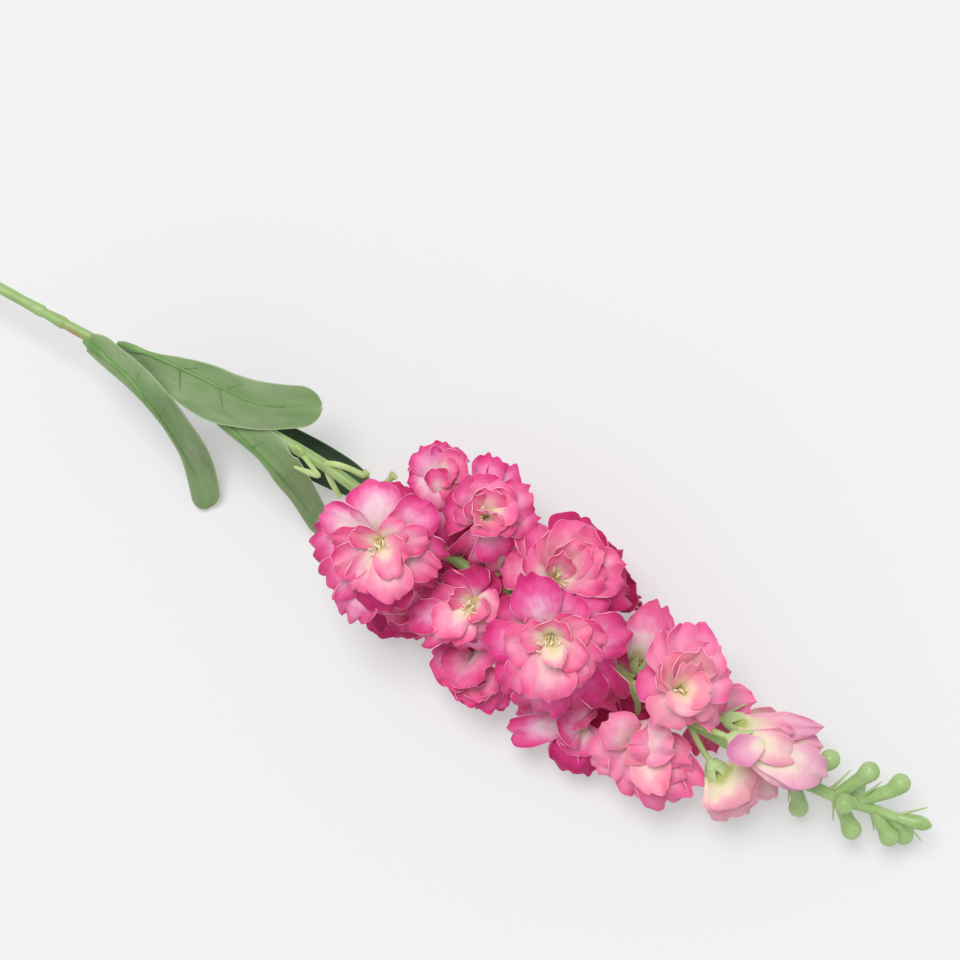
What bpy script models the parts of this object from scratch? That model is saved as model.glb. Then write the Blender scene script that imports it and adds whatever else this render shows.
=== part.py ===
"""An artificial delphinium stem that lies on a table.

Blender 4.5 script, run with: blender --background --python part.py
The scene is in metres with +Z up and +X from the cut end to the bud tip. The tables and formulas below are
in millimetres, in a construction frame whose x = 0 is the cut end and whose z = 0 is the table.
"""

import math
import random
from collections import namedtuple

import bmesh
import bpy
import numpy as np

# Driving dimensions in millimetres
MM = 0.001
GAP = 0.3
STEM_RADIUS_CUT_END = 2.4
STEM_RADIUS_SLIM = 1.95
STEM_RADIUS_SPIKE_FOOT = 2.2
STEM_RADIUS_SPIKE = 1.9
NODE_SWELLING = 1.17
STALK_RADIUS = 1.0
CALYX_RADIUS = 2.7
CALYX_RADIUS_HALF_OPEN = 3.6
CALYX_HEIGHT = 4.0
PETAL_THICKNESS = 0.7
LEAF_THICKNESS = 0.7
RIB_RADIUS = 0.9
NEEDLE_RADIUS = 0.45
HEART_HEIGHT = 0.28
SOFT_WALL = 2.0
SOFT_FLOOR = 0.2
LAYER_STEP = 0.8

# The camera that took the photograph hangs over the spike and is turned about its own line of sight
CAMERA_OVER = (460, 28)
CAMERA_HEIGHT = 1000
CAMERA_TURN = 30.67
CAMERA_LENS = 100
CAMERA_SENSOR = 36
IMAGE_CENTRE = 480
MM_PER_PIXEL = CAMERA_HEIGHT * CAMERA_SENSOR / CAMERA_LENS / (2 * IMAGE_CENTRE)

# The main stem's route, from the cut end to the last flowers
STEM_ROUTE = (
    (0, -9, 2.4), (10, -9, 2.4), (60, -7, 6.5), (130, -5.5, 12.5), (200, -3.5, 18.5), (273, -1.2, 24.5),
    (307, 0, 27.5), (350, 2, 31.5), (402, 4, 35.5), (430, 2, 37), (470, -1.5, 36), (510, -5, 34.5),
    (549, -8, 32.5), (581, -8.8, 29.5), (606, -8, 26),
)
# Swollen nodes along the stem: distance from the cut end
STEM_NODES = (95, 190, 291, 300, 345)

# A bloom: the heart is where its petals part, facing points out of the flower, whorls counts the petals
# from the outer ring in, turn is the first outer petal's angle, openness is 1 for a flat open flower
Bloom = namedtuple("Bloom", "name heart facing radius whorls turn openness lean")
BLOOMS = (
    Bloom("bloom_01", (441, -9, 55), (0.04, -0.27, 1.0), 29, (6, 5, 2), 90, 1.0, 16),
    Bloom("bloom_02", (446, 24, 41), (-0.42, 0.91, 0.25), 21, (5, 3), 60, 0.75, 14),
    Bloom("bloom_03", (457, -25, 17), (0.13, -0.7, 0.25), 22, (5, 3), 20, 0.9, 16),
    Bloom("bloom_04", (468, 18, 51), (0.1, 0.25, 1.0), 25, (5, 4), 75, 0.95, 14),
    Bloom("bloom_05", (480, -11, 45), (-0.2, -0.25, 1.0), 25, (5, 4), 30, 0.95, 12),
    Bloom("bloom_06", (501, 11, 49), (0.05, 0.4, 1.0), 28, (5, 3), 80, 0.9, 15),
    Bloom("bloom_07", (510, -7, 58), (0.06, -0.2, 1.0), 30, (6, 5, 2), 125, 1.0, 18),
    Bloom("bloom_08", (494, -34, 17), (0.1, -0.8, 0.25), 23, (5, 3), 10, 0.9, 16),
    Bloom("bloom_09", (537, -34, 17), (0.0, -0.85, 0.25), 27, (5, 3), 50, 0.9, 15),
    Bloom("bloom_10", (542, 5.5, 33), (-0.2, 0.9, 0.25), 22, (4, 1), 30, 0.2, 11),
    Bloom("bloom_11", (558, -25, 22), (0.2, -0.45, 0.85), 27, (5, 3), 0, 0.9, 12),
    Bloom("bloom_12", (560, 0, 48), (0.3, 0.4, 0.9), 27, (5, 3), 60, 0.85, 13),
    Bloom("bloom_13", (577, 4, 17), (0.53, 0.67, -0.1), 19, (4, 2), 30, 0.7, 12),
    Bloom("bloom_14", (519, 18, 15), (0.12, 0.77, -0.1), 23, (5, 3), 40, 0.9, 14),
    Bloom("bloom_15", (482, 16, 17), (-0.13, 0.8, 0.1), 24, (5, 3), 10, 0.9, 14),
    Bloom("bloom_16", (452, 2, 5), (-0.1, 0.1, -1.0), 20, (5, 2), 20, 1.0, 12),
    Bloom("bloom_17", (492, -8, 5), (0.0, -0.1, -1.0), 20, (5, 2), 55, 1.0, 12),
    Bloom("bloom_18", (541, -7, 5), (0.1, 0.0, -1.0), 20, (5, 2), 15, 1.0, 12),
    Bloom("half_open_1", (593.5, -21.7, 25.6), (0.9, -0.43, -0.2), 25, (4, 1), 45, 0.1, 14),
    Bloom("half_open_2", (591, 3.5, 28), (0.88, 0.47, 0.0), 30, (4, 1), 0, 0.2, 12),
    Bloom("half_open_3", (595.5, -3.8, 45), (0.97, 0.15, -0.1), 33, (4, 2), 40, 0.2, 12),
    Bloom("half_open_4", (600, -14, 11), (0.82, -0.3, -0.1), 16, (4, 1), 10, 0.5, 10),
)
# The rings of petals from the outer one in: length as a share of the radius, width as a share of the length,
# rise at the root and at the tip in degrees above the flower's plane for an open bloom
Ring = namedtuple("Ring", "length width rise_root rise_tip cup root_height")
RINGS = (
    Ring(1.0, 0.86, 42, -12, 0.05, 0.3),
    Ring(0.76, 0.86, 62, 18, 0.16, 0.6),
    Ring(0.5, 0.85, 80, 48, 0.22, 0.9),
)
# The rise of a closed flower's petals, which stand up and lean together at the tip
CLOSED_RISE = (28, 102)

# A petal of a flower that the photograph shows: the pixel of its tip, the tip's height, its width, how far
# its middle bulges towards the flower's open side as a share of its length, how far it belongs to the heart
# (0 outer, 1 inner), and how far its open side is turned up from the flower's facing (0 to 1)
Petal = namedtuple("Petal", "tip height width arch inner up", defaults=(0.3,))
PETALS = {
    "bloom_01": (
        Petal((371, 477), 57, 19, 0.25, 0.05), Petal((321, 509), 55, 14, 0.2, 0.1),
        Petal((435, 503), 59, 17, 0.3, 0.1), Petal((310, 541), 44, 17, 0.35, 0.1),
        Petal((349, 619), 42, 16, 0.35, 0.1), Petal((388, 611), 50, 20, 0.4, 0.0),
        Petal((447, 560), 50, 17, 0.35, 0.25), Petal((325, 590), 47, 17, 0.35, 0.35),
        Petal((424, 592), 43, 16, 0.3, 0.4), Petal((405, 484), 49, 15, 0.2, 0.1),
        Petal((333, 570), 60, 14, 0.2, 0.7), Petal((331, 538), 60, 11, 0.3, 0.6),
        Petal((398, 603), 60, 16, 0.3, 0.8), Petal((410, 557), 64, 12, 0.3, 0.9),
        Petal((396, 578), 66, 11, 0.2, 1.0), Petal((430, 537), 62, 12, 0.25, 0.6),
        Petal((404, 522), 63, 11, 0.2, 0.7), Petal((440, 574), 56, 12, 0.2, 0.6),
        Petal((356, 592), 60, 13, 0.2, 0.8), Petal((350, 532), 65, 9, 0.1, 0.9),
    ),
    "bloom_02": (
        Petal((419, 447), 42, 13, 0.27, 0.1, 0.9), Petal((452, 443), 41, 13, 0.27, 0.0, 0.9),
        Petal((465, 459), 46, 13, 0.2, 0.6, 0.8), Petal((457, 474), 49, 11, 0.2, 0.8, 0.8),
        Petal((459, 494), 44, 12, 0.34, 0.4, 0.8), Petal((421, 480), 38, 10, 0.24, 0.0, 0.9),
        Petal((408, 485), 42, 12, 0.2, 0.0, 0.9), Petal((456, 540), 40, 16, 0.05, 0.0, 0.9),
        Petal((430, 512), 38, 14, 0.3, 0.4, 0.9), Petal((436, 440), 24, 13, -0.2, 0.2, 0.3),
        Petal((457, 451), 26, 13, -0.2, 0.2, 0.3), Petal((415, 462), 26, 12, -0.2, 0.2, 0.3),
    ),
    "bloom_03": (
        Petal((370, 630), 14, 17, 0.3, 0.0, 0.8), Petal((394, 638), 16, 18, 0.3, 0.0, 0.8),
        Petal((384, 619), 26, 16, 0.3, 0.5, 0.8), Petal((414, 632), 22, 16, 0.3, 0.1, 0.8),
        Petal((430, 628), 20, 15, 0.3, 0.1, 0.8), Petal((405, 614), 28, 14, 0.2, 0.6, 0.8),
        Petal((383, 634), 4, 16, -0.1, 0.2, 0.4), Petal((410, 640), 5, 16, -0.1, 0.2, 0.4),
    ),
    "bloom_04": (
        Petal((487, 455), 42, 12, 0.2, 0.0), Petal((509, 464), 40, 13, 0.2, 0.0),
        Petal((472, 474), 54, 18, 0.3, 0.3), Petal((499, 477), 54, 17, 0.3, 0.4),
        Petal((442, 512), 46, 16, 0.3, 0.2), Petal((498, 560), 46, 15, 0.4, 0.0),
        Petal((529, 492), 48, 16, 0.3, 0.4), Petal((536, 521), 46, 15, 0.3, 0.2),
        Petal((467, 556), 34, 16, 0.3, 0.3), Petal((504, 571), 34, 13, 0.3, 0.4),
        Petal((474, 496), 58, 14, 0.1, 0.7), Petal((494, 489), 58, 13, 0.1, 0.8),
        Petal((515, 500), 57, 14, 0.15, 0.8), Petal((520, 521), 54, 13, 0.2, 0.7),
        Petal((498, 535), 58, 16, 0.3, 0.8), Petal((476, 521), 61, 12, 0.1, 0.9),
        Petal((493, 511), 62, 10, 0.0, 1.0), Petal((458, 500), 53, 15, 0.25, 0.4),
        Petal((486, 566), 32, 15, 0.3, 0.1),
    ),
    "bloom_05": (
        Petal((463, 568), 44, 19, 0.3, 0.0), Petal((486, 574), 42, 16, 0.3, 0.0),
        Petal((505, 588), 40, 16, 0.3, 0.0), Petal((409, 621), 38, 13, 0.3, 0.05),
        Petal((418, 641), 34, 12, 0.3, 0.3), Petal((450, 596), 53, 9, 0.0, 0.95),
        Petal((434, 632), 50, 14, 0.25, 0.8), Petal((447, 642), 46, 15, 0.3, 0.5),
        Petal((500, 607), 50, 12, 0.2, 0.7), Petal((484, 618), 52, 11, 0.1, 0.8),
        Petal((438, 581), 42, 15, 0.3, 0.15), Petal((478, 636), 44, 15, 0.25, 0.6),
        Petal((433, 606), 42, 16, 0.3, 0.3), Petal((490, 640), 38, 15, 0.3, 0.2),
        Petal((440, 588), 33, 16, 0.3, 0.0), Petal((421, 600), 30, 15, 0.3, 0.0),
        Petal((478, 654), 33, 16, 0.3, 0.0),
    ),
    "bloom_06": (
        Petal((541, 522), 50, 18, 0.3, 0.3), Petal((552, 529), 57, 12, 0.1, 0.9),
        Petal((589, 524), 60, 21, 0.1, 0.6), Petal((587, 515), 46, 22, 0.2, 0.0),
        Petal((619, 549), 46, 18, 0.25, 0.0), Petal((626, 572), 54, 18, 0.3, 0.6),
        Petal((634, 593), 42, 18, 0.35, 0.0), Petal((503, 569), 44, 16, 0.3, 0.4),
        Petal((522, 523), 44, 14, 0.3, 0.2), Petal((601, 551), 62, 15, 0.1, 0.85),
        Petal((608, 578), 60, 14, 0.2, 0.8), Petal((584, 545), 64, 14, 0.0, 0.9),
        Petal((566, 555), 62, 11, 0.0, 1.0), Petal((528, 550), 54, 15, 0.3, 0.5),
        Petal((520, 590), 42, 14, 0.3, 0.5), Petal((604, 598), 44, 15, 0.3, 0.2),
    ),
    "bloom_07": (
        Petal((527, 573), 62, 18, 0.45, 0.0), Petal((566, 589), 62, 21, 0.3, 0.05),
        Petal((610, 601), 55, 18, 0.3, 0.1), Petal((632, 632), 56, 17, 0.3, 0.2),
        Petal((617, 667), 44, 20, 0.35, 0.0), Petal((590, 704), 42, 21, 0.35, 0.0),
        Petal((537, 713), 44, 20, 0.35, 0.05), Petal((504, 688), 48, 18, 0.3, 0.15),
        Petal((480, 643), 52, 16, 0.3, 0.0), Petal((493, 612), 50, 17, 0.3, 0.1),
        Petal((546, 703), 60, 20, 0.25, 0.8), Petal((516, 691), 56, 17, 0.3, 0.5),
        Petal((501, 648), 61, 15, 0.25, 0.6), Petal((551, 610), 63, 18, 0.2, 0.7),
        Petal((556, 621), 67, 14, 0.1, 0.85), Petal((607, 642), 61, 16, 0.25, 0.6),
        Petal((598, 671), 61, 16, 0.25, 0.7), Petal((585, 664), 66, 12, 0.1, 0.9),
        Petal((580, 689), 60, 15, 0.2, 0.6), Petal((521, 634), 66, 12, 0.1, 0.85),
        Petal((558, 669), 69, 9, 0.2, 1.0), Petal((590, 628), 66, 12, 0.1, 0.8),
        Petal((618, 698), 34, 17, 0.3, 0.0),
    ),
    "bloom_08": (
        Petal((441, 675), 28, 17, 0.35, 0.3, 0.9), Petal((436, 668), 20, 17, 0.3, 0.1, 0.9),
        Petal((483, 680), 38, 20, 0.35, 0.3, 0.9), Petal((463, 704), 24, 17, 0.3, 0.05, 0.9),
        Petal((480, 711), 22, 18, 0.3, 0.05, 0.9), Petal((500, 709), 20, 16, 0.3, 0.05, 0.9),
        Petal((486, 701), 30, 13, 0.2, 0.7, 0.8), Petal((496, 692), 32, 12, 0.2, 0.5, 0.8),
        Petal((474, 689), 30, 12, 0.1, 0.6, 0.8), Petal((470, 706), 4, 16, -0.1, 0.2, 0.4),
        Petal((496, 712), 5, 16, -0.1, 0.2, 0.4), Petal((447, 682), 6, 16, -0.1, 0.4, 0.4),
    ),
    "bloom_09": (
        Petal((507, 735), 16, 11, 0.3, 0.1, 0.9), Petal((512, 722), 14, 10, 0.2, 0.05, 0.9),
        Petal((559, 716), 32, 17, 0.4, 0.0, 0.9), Petal((557, 739), 28, 15, 0.4, 0.6, 0.9),
        Petal((580, 730), 30, 15, 0.4, 0.3, 0.9), Petal((566, 772), 14, 18, 0.3, 0.0, 0.9),
        Petal((590, 772), 12, 17, 0.3, 0.0, 0.9), Petal((574, 757), 22, 14, 0.1, 0.3, 0.8),
        Petal((603, 765), 16, 15, 0.3, 0.1, 0.9), Petal((566, 766), 4, 16, -0.1, 0.2, 0.4),
        Petal((592, 768), 4, 16, -0.1, 0.4, 0.4), Petal((550, 752), 8, 15, -0.1, 0.2, 0.4),
    ),
    "bloom_10": (
        Petal((656, 598), 38, 16, 0.5, 0.35, 0.95), Petal((667, 608), 34, 14, 0.4, 0.1, 0.9),
        Petal((643, 608), 32, 13, 0.4, 0.1, 0.9), Petal((655, 603), 22, 15, -0.3, 0.2, 0.7),
    ),
    "bloom_11": (
        Petal((603, 718), 36, 16, 0.4, 0.35, 0.6), Petal((628, 747), 40, 15, 0.5, 0.37, 0.7),
        Petal((590, 752), 26, 15, 0.3, 0.4, 0.7), Petal((594, 769), 20, 15, 0.3, 0.4, 0.7),
        Petal((619, 781), 24, 14, 0.3, 0.3, 0.7), Petal((637, 798), 20, 16, 0.3, 0.35, 0.8),
        Petal((662, 794), 32, 15, 0.35, 0.9, 0.8), Petal((668, 807), 22, 17, 0.3, 0.2, 0.8),
        Petal((698, 783), 24, 17, 0.3, 0.3, 0.8), Petal((690, 775), 30, 14, 0.2, 0.5, 0.8),
        Petal((692, 756), 32, 14, 0.35, 0.5, 0.8), Petal((650, 763), 34, 15, 0.2, 0.9, 0.7),
        Petal((677, 745), 40, 18, 0.35, 0.37, 0.8), Petal((640, 790), 6, 16, -0.1, 0.2, 0.4),
        Petal((675, 785), 6, 16, -0.1, 0.2, 0.4),
    ),
    "bloom_12": (
        Petal((656, 723), 50, 16, 0.35, 0.7, 0.6), Petal((672, 728), 48, 15, 0.35, 0.5, 0.6),
        Petal((685, 716), 60, 15, 0.3, 0.8, 0.5), Petal((637, 678), 46, 15, 0.3, 0.0, 0.5),
        Petal((645, 692), 42, 13, 0.3, 0.05, 0.5), Petal((661, 632), 50, 18, 0.3, 0.3),
        Petal((693, 621), 50, 19, 0.2, 0.15), Petal((716, 643), 50, 16, 0.2, 0.3),
        Petal((733, 677), 46, 16, 0.25, 0.3), Petal((720, 703), 46, 17, 0.3, 0.6),
        Petal((721, 721), 36, 15, 0.3, 0.1), Petal((703, 651), 60, 16, 0.0, 0.85),
        Petal((668, 655), 58, 14, 0.1, 0.8), Petal((712, 690), 60, 14, 0.1, 0.85),
        Petal((691, 664), 63, 12, 0.0, 0.95), Petal((658, 668), 56, 12, 0.1, 0.7),
    ),
    "bloom_13": (
        Petal((753, 699), 24, 14, 0.3, 0.3, 0.9), Petal((747, 709), 20, 13, 0.3, 0.2, 0.9),
        Petal((735, 693), 20, 12, 0.3, 0.3, 0.9), Petal((742, 700), 10, 14, -0.2, 0.2, 0.6),
        Petal((736, 712), 12, 12, 0.2, 0.2, 0.6),
    ),
    "half_open_1": (
        Petal((733, 815), 16, 17, 0.35, 0.6, 0.9), Petal((751, 806), 20, 16, 0.35, 0.5, 0.9),
        Petal((760, 786), 26, 15, 0.35, 0.6, 0.9), Petal((744, 802), 31, 19, 0.45, 0.95, 0.9),
        Petal((720, 806), 20, 14, 0.35, 0.8, 0.9), Petal((738, 806), 7, 17, -0.3, 0.5, 0.6),
    ),
    "half_open_2": (
        Petal((786, 719), 40, 15, 0.35, 0.6, 0.9), Petal((797, 727), 43, 12, 0.3, 0.2, 0.9),
        Petal((812, 712), 34, 18, 0.3, 0.1, 0.9), Petal((823, 728), 32, 17, 0.3, 0.1, 0.9),
        Petal((821, 745), 28, 14, 0.3, 0.4, 0.9), Petal((795, 724), 16, 16, -0.3, 0.4, 0.5),
    ),
    "half_open_3": (
        Petal((799, 750), 44, 16, 0.35, 0.7, 0.9), Petal((782, 773), 38, 13, 0.35, 0.5, 0.9),
        Petal((824, 768), 37, 20, 0.35, 0.1, 0.9), Petal((806, 783), 34, 16, 0.35, 0.1, 0.9),
        Petal((748, 754), 54, 15, 0.5, 0.5, 0.9), Petal((790, 762), 27, 15, -0.3, 0.4, 0.6),
    ),
    "half_open_4": (
        Petal((774, 798), 12, 12, 0.3, 0.2, 0.9), Petal((761, 789), 14, 11, 0.3, 0.3, 0.9),
        Petal((777, 785), 9, 11, -0.1, 0.3, 0.8),
    ),
}

# A leaf: its middle line as pixels of the photograph, each with a height over the table, and the half blade
# on each side. A half: its width at each of those points, seen from above, and its fold in degrees at the
# foot, the middle and the end
Leaf = namedtuple("Leaf", "name rib left right")
Half = namedtuple("Half", "widths folds")
LEAVES = (
    Leaf("leaf_1",
         ((85, 341, 31.3), (98, 351, 35.5), (113, 364, 38.5), (130, 379, 40.3), (147, 401, 39.5),
          (165, 425, 31.5), (184, 455, 19.5), (197, 480, 10), (206, 509, 2)),
         Half((3.2, 6.0, 6.2, 6.6, 7.8, 8.2, 8.8, 7.6, 6.0), (12, 14, 4)),
         Half((1.5, 2.0, 3.0, 4.4, 3.0, 1.9, 1.7, 3.8, 4.6), (-30, -52, -8))),
    Leaf("leaf_2",
         ((119, 344, 31.4), (135, 349, 37), (152, 355, 39.5), (180, 368, 42), (208, 381, 43), (230, 392, 43),
          (260, 404, 42), (290, 407, 40), (322, 406, 38)),
         Half((0.6, 0.8, 0.9, 4.0, 6.1, 6.8, 8.1, 7.9, 7.2), (6, 12, 4)),
         Half((0.8, 3.0, 5.5, 10.5, 12.8, 12.4, 9.4, 7.8, 7.2), (-29, -14, -6))),
    Leaf("leaf_3",
         ((205, 411, 31), (218, 419, 35.3), (232, 429.5, 37), (248, 445, 36.6), (260, 456, 35.5),
          (273, 470, 33.5), (283, 481, 30), (298, 498, 23), (311, 516.5, 15), (322, 533, 9)),
         Half((0.8, 3.0, 6.0, 8.6, 10.2, 9.7, 9.0, 7.4, 6.2, 4.5), (14, 14, 6)),
         Half((0.8, 1.8, 2.2, 1.4, 1.3, 1.8, 2.5, 2.7, 3.0, 3.0), (-30, -50, -20))),
    Leaf("leaf_4",
         ((207, 392, 29), (222, 409, 24), (252, 425, 17), (290, 447, 11), (320, 463, 8), (346, 477, 5),
          (369, 490, 3)),
         Half((0.8, 2.5, 5.5, 7.3, 7.3, 6.4, 4.2), (6, 6, 2)),
         Half((0.8, 3.5, 6.5, 7.4, 7.3, 6.6, 4.5), (6, 6, 2))),
)

# Drumstick buds of the bud tip: root, bend and head centre
BUD_STALK_RADIUS = 2.4
BUD_HEAD_RADIUS = 3.8
BUD_TIP_ROUTE = ((606.3, -8, 26), (621, -6.5, 24), (635, -4.7, 22.5), (645, -2.5, 21.5), (655, -0.5, 21))
BUDS = (
    ((622, -6.5, 24), (620, 1, 27), (621.5, 5.5, 29)),
    ((631, -4.5, 23), (635, 5, 27.5), (636, 9, 30)),
    ((640, -2, 22), (647, 7, 25.5), (648.5, 11, 27)),
    ((633, -5, 23), (633, -5, 29), (633.5, -5.5, 33)),
    ((633, -6, 22), (640, -10.5, 18.5), (643.5, -13, 17)),
    ((646, -2.5, 21.5), (653.5, -6.5, 19), (656.5, -8, 18)),
    ((652, -1, 21), (659, -3.5, 15), (662, -5, 12)),
    ((615, -8, 25), (621, -13.5, 17.5), (623, -16, 14)),
    ((640, -4, 22), (638, -1, 15), (638, 1, 11)),
)
END_BUD = ((654, -0.6, 21), (661, 1.5, 21), (667.5, 3.2, 21))
TIP_NEEDLES = (
    ((628, -4, 24), (630.5, 6, 26)), ((639, -1.5, 23), (642, 8, 28)), ((631, -6.5, 22), (636, -13.5, 16)),
    ((645, -3, 21), (651, -9, 16)), ((654, 0, 21), (662, 8.5, 24)), ((658, 0, 20.5), (668, -3.5, 16)),
    ((613, -8, 24), (618, -16, 18)),
)

# Small green pieces below the flowers: a forked bract, two nubs and side stalks. Each is a route of pixels
# with heights, and the radius at each of its points
STEM_SHOOTS = (
    (((304, 456, 36.5), (312, 467, 39.5), (319, 476, 41), (309, 472.5, 42), (294, 466.6, 43)),
     (1.1, 0.9, 0.8, 1.1, 0.5)),
    (((305, 457, 35.5), (301, 451, 38.5), (296, 446, 40)), (1.2, 0.9, 0.5)),
    (((320, 464, 36), (336, 464.5, 38.5), (350, 469, 38.5), (363, 475, 38), (367, 471.5, 38.5)),
     (1.3, 1.2, 1.15, 1.3, 1.5)),
    (((374, 490, 37.5), (384, 484, 41), (390, 479, 43), (394, 475, 44)), (1.1, 0.9, 1.1, 1.9)),
    (((326, 468, 35.5), (331, 481, 33), (340, 497, 31)), (1.2, 1.1, 0.9)),
)

# Colours of the fabric and of the moulded plastic, as linear values, with their roughness
PETAL_DEEP = (0.62, 0.07, 0.27, 1.0)
PETAL_MID = (0.83, 0.22, 0.42, 1.0)
PETAL_PALE = (0.84, 0.42, 0.58, 1.0)
LEAF_BACK = (0.22, 0.33, 0.13, 1.0)
LEAF_FACE = (0.03, 0.065, 0.032, 1.0)
STEM_GREEN = (0.32, 0.46, 0.18, 1.0)
BUD_GREEN = (0.27, 0.45, 0.15, 1.0)
FABRIC_ROUGHNESS = 0.85
PLASTIC_ROUGHNESS = 0.45

# A petal and a leaf have this many rows and columns of faces. The small petals that stand deep in a heart are
# too fine for the solids: those whose share of belonging to the heart is above this are left out
PETAL_ROWS = 2
PETAL_COLUMNS = 2
FINEST_HEART_PETAL = 0.38
LEAF_ROWS = 9
LEAF_COLUMNS = 4

IMAGE_RIGHT = np.array((0.86, 0.51, 0.0))


def unit(vector):
    vector = np.asarray(vector, float)
    return vector / np.linalg.norm(vector)


def place_pixel(pixel, height):
    """The point of the construction frame that a pixel of the photograph shows at a height over the table."""
    turn = math.radians(CAMERA_TURN)
    scale = (CAMERA_HEIGHT - height) / CAMERA_HEIGHT * MM_PER_PIXEL
    right = (pixel[0] - IMAGE_CENTRE) * scale
    up = (IMAGE_CENTRE - pixel[1]) * scale
    return np.array((CAMERA_OVER[0] + right * math.cos(turn) - up * math.sin(turn),
                     CAMERA_OVER[1] + right * math.sin(turn) + up * math.cos(turn), height))


def place_route(route):
    """Points for a route of pixels with heights."""
    return np.array([place_pixel(point[:2], point[2]) for point in route])


def smooth_route(points, steps):
    """Points along a Catmull-Rom curve through the given ones, with this many steps in each span."""
    points = np.asarray(points, float)
    padded = np.vstack((2 * points[0] - points[1], points, 2 * points[-1] - points[-2]))
    route = []
    for before, start, end, after in zip(padded, padded[1:], padded[2:], padded[3:]):
        for step in range(steps):
            t = step / steps
            route.append(0.5 * (2 * start + (end - before) * t
                                + (2 * before - 5 * start + 4 * end - after) * t ** 2
                                + (3 * start - before - 3 * end + after) * t ** 3))
    route.append(points[-1])
    return np.array(route)


def smooth_values(values, steps):
    """Numbers eased between the given ones, to go with a smoothed route."""
    spots = np.arange(len(values))
    return np.interp(np.linspace(0, len(values) - 1, (len(values) - 1) * steps + 1), spots, values)


def stem_point(x):
    """The middle of the main stem at this distance from the cut end."""
    route = np.asarray(STEM_ROUTE, float)
    return np.array((x, np.interp(x, route[:, 0], route[:, 1]), np.interp(x, route[:, 0], route[:, 2])))


def stem_radius(x):
    return np.interp(x, (0, 250, 340, 400, 600), (STEM_RADIUS_CUT_END, STEM_RADIUS_SLIM, STEM_RADIUS_SLIM,
                                                  STEM_RADIUS_SPIKE_FOOT, STEM_RADIUS_SPIKE))


def bloom_base(bloom):
    """The foot of a bloom, where its calyx carries it."""
    return np.asarray(bloom.heart, float) - unit(bloom.facing) * bloom.radius * HEART_HEIGHT


def stalk_route(bloom):
    """The flower stalk's middle line from the main stem to the underside of the calyx."""
    facing = unit(bloom.facing)
    end = bloom_base(bloom) - facing * CALYX_HEIGHT
    start = stem_point(end[0] - bloom.lean)
    length = np.linalg.norm(end - start)
    out = end - stem_point(end[0])
    leave = start + 0.4 * length * unit(unit(out) + np.array((1.2, 0, 0)))
    arrive = end - facing * 0.3 * length
    t = np.array((0, 0.4, 0.75, 1))[:, None]
    return (1 - t) ** 3 * start + 3 * (1 - t) ** 2 * t * leave + 3 * (1 - t) * t ** 2 * arrive + t ** 3 * end


def nearest_on_segment(point, start, end):
    along = end - start
    share = np.clip(np.dot(point - start, along) / np.dot(along, along), 0, 1)
    return start + share * along


def bloom_girth(bloom):
    """Half the width that a bloom wants: its radius if it is open, less if its petals stand up."""
    return bloom.radius * (0.3 + 0.7 * bloom.openness)


def bloom_cell(bloom, green_routes):
    """The convex room that a bloom may fill, as unit normals and offsets: inside, normal . point < offset.

    Walls stand between neighbouring blooms, in front of each stretch of stem or stalk, and on the table.
    """
    heart = np.asarray(bloom.heart, float)
    facing = unit(bloom.facing)
    normals = [-facing, np.array((0, 0, -1.0))]
    offsets = [np.dot(-facing, bloom_base(bloom)) - GAP, 0.0]
    for other in BLOOMS:
        if other.name == bloom.name:
            continue
        across = np.asarray(other.heart, float) - heart
        distance = np.linalg.norm(across)
        reach = (distance ** 2 + bloom_girth(bloom) ** 2 - bloom_girth(other) ** 2) / (2 * distance)
        reach = min(max(reach, 0.3 * distance), 0.7 * distance)
        normals.append(across / distance)
        offsets.append(np.dot(across / distance, heart) + reach - GAP / 2)
    for owner, route, radius in green_routes:
        if owner == bloom.name:
            continue
        for start, end in zip(route, route[1:]):
            nearest = nearest_on_segment(heart, start, end)
            normal = unit(nearest - heart)
            normals.append(normal)
            offsets.append(np.dot(normal, nearest) - radius - GAP)
    return np.array(normals), np.array(offsets)


def settle(points, heart, cell, level, margin):
    """Bends a petal's points back into its bloom's room: they slide along its walls, a margin away."""
    normals, offsets = cell
    offsets = offsets - margin
    offsets[0] += margin - PETAL_THICKNESS / 2
    offsets[1] += margin - PETAL_THICKNESS / 2 - LAYER_STEP * level
    soft = np.full(len(offsets), SOFT_WALL)
    soft[1] = SOFT_FLOOR
    for _ in range(4):
        for normal, offset, ease in zip(normals, offsets, soft):
            room = offset - points @ normal
            eased = (np.clip(room, -ease, ease) + ease) ** 2 / (4 * ease)
            kept = np.where(room > ease, room, eased)
            points = points - np.outer(kept - room, normal)
    away = points - heart
    reach = away @ normals.T
    room = offsets - normals @ heart
    share = np.where(reach > 1e-6, room / np.maximum(reach, 1e-6), 1.0)
    return heart + away * np.minimum(1.0, share.min(axis=1))[:, None]


def free_reach(start, direction, cell):
    """How far a straight line from here runs before it meets a neighbour's wall."""
    normals, offsets = cell[0][2:], cell[1][2:]
    closing = normals @ direction
    room = (offsets - normals @ start)[closing > 1e-6] / closing[closing > 1e-6]
    return room.min()


def flower_axes(facing):
    """Two directions across a flower: the first is the picture's right, as seen from above."""
    across = IMAGE_RIGHT - np.dot(IMAGE_RIGHT, facing) * facing
    if np.linalg.norm(across) < 0.3:
        across = np.array((0.0, 0.0, 1.0)) - facing[2] * facing
    across = unit(across)
    return across, np.cross(facing, across)


RingPetal = namedtuple("RingPetal", "level angle length width rise_root rise_tip cup root_height "
                                    "twist ruffle phase margin")


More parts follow.
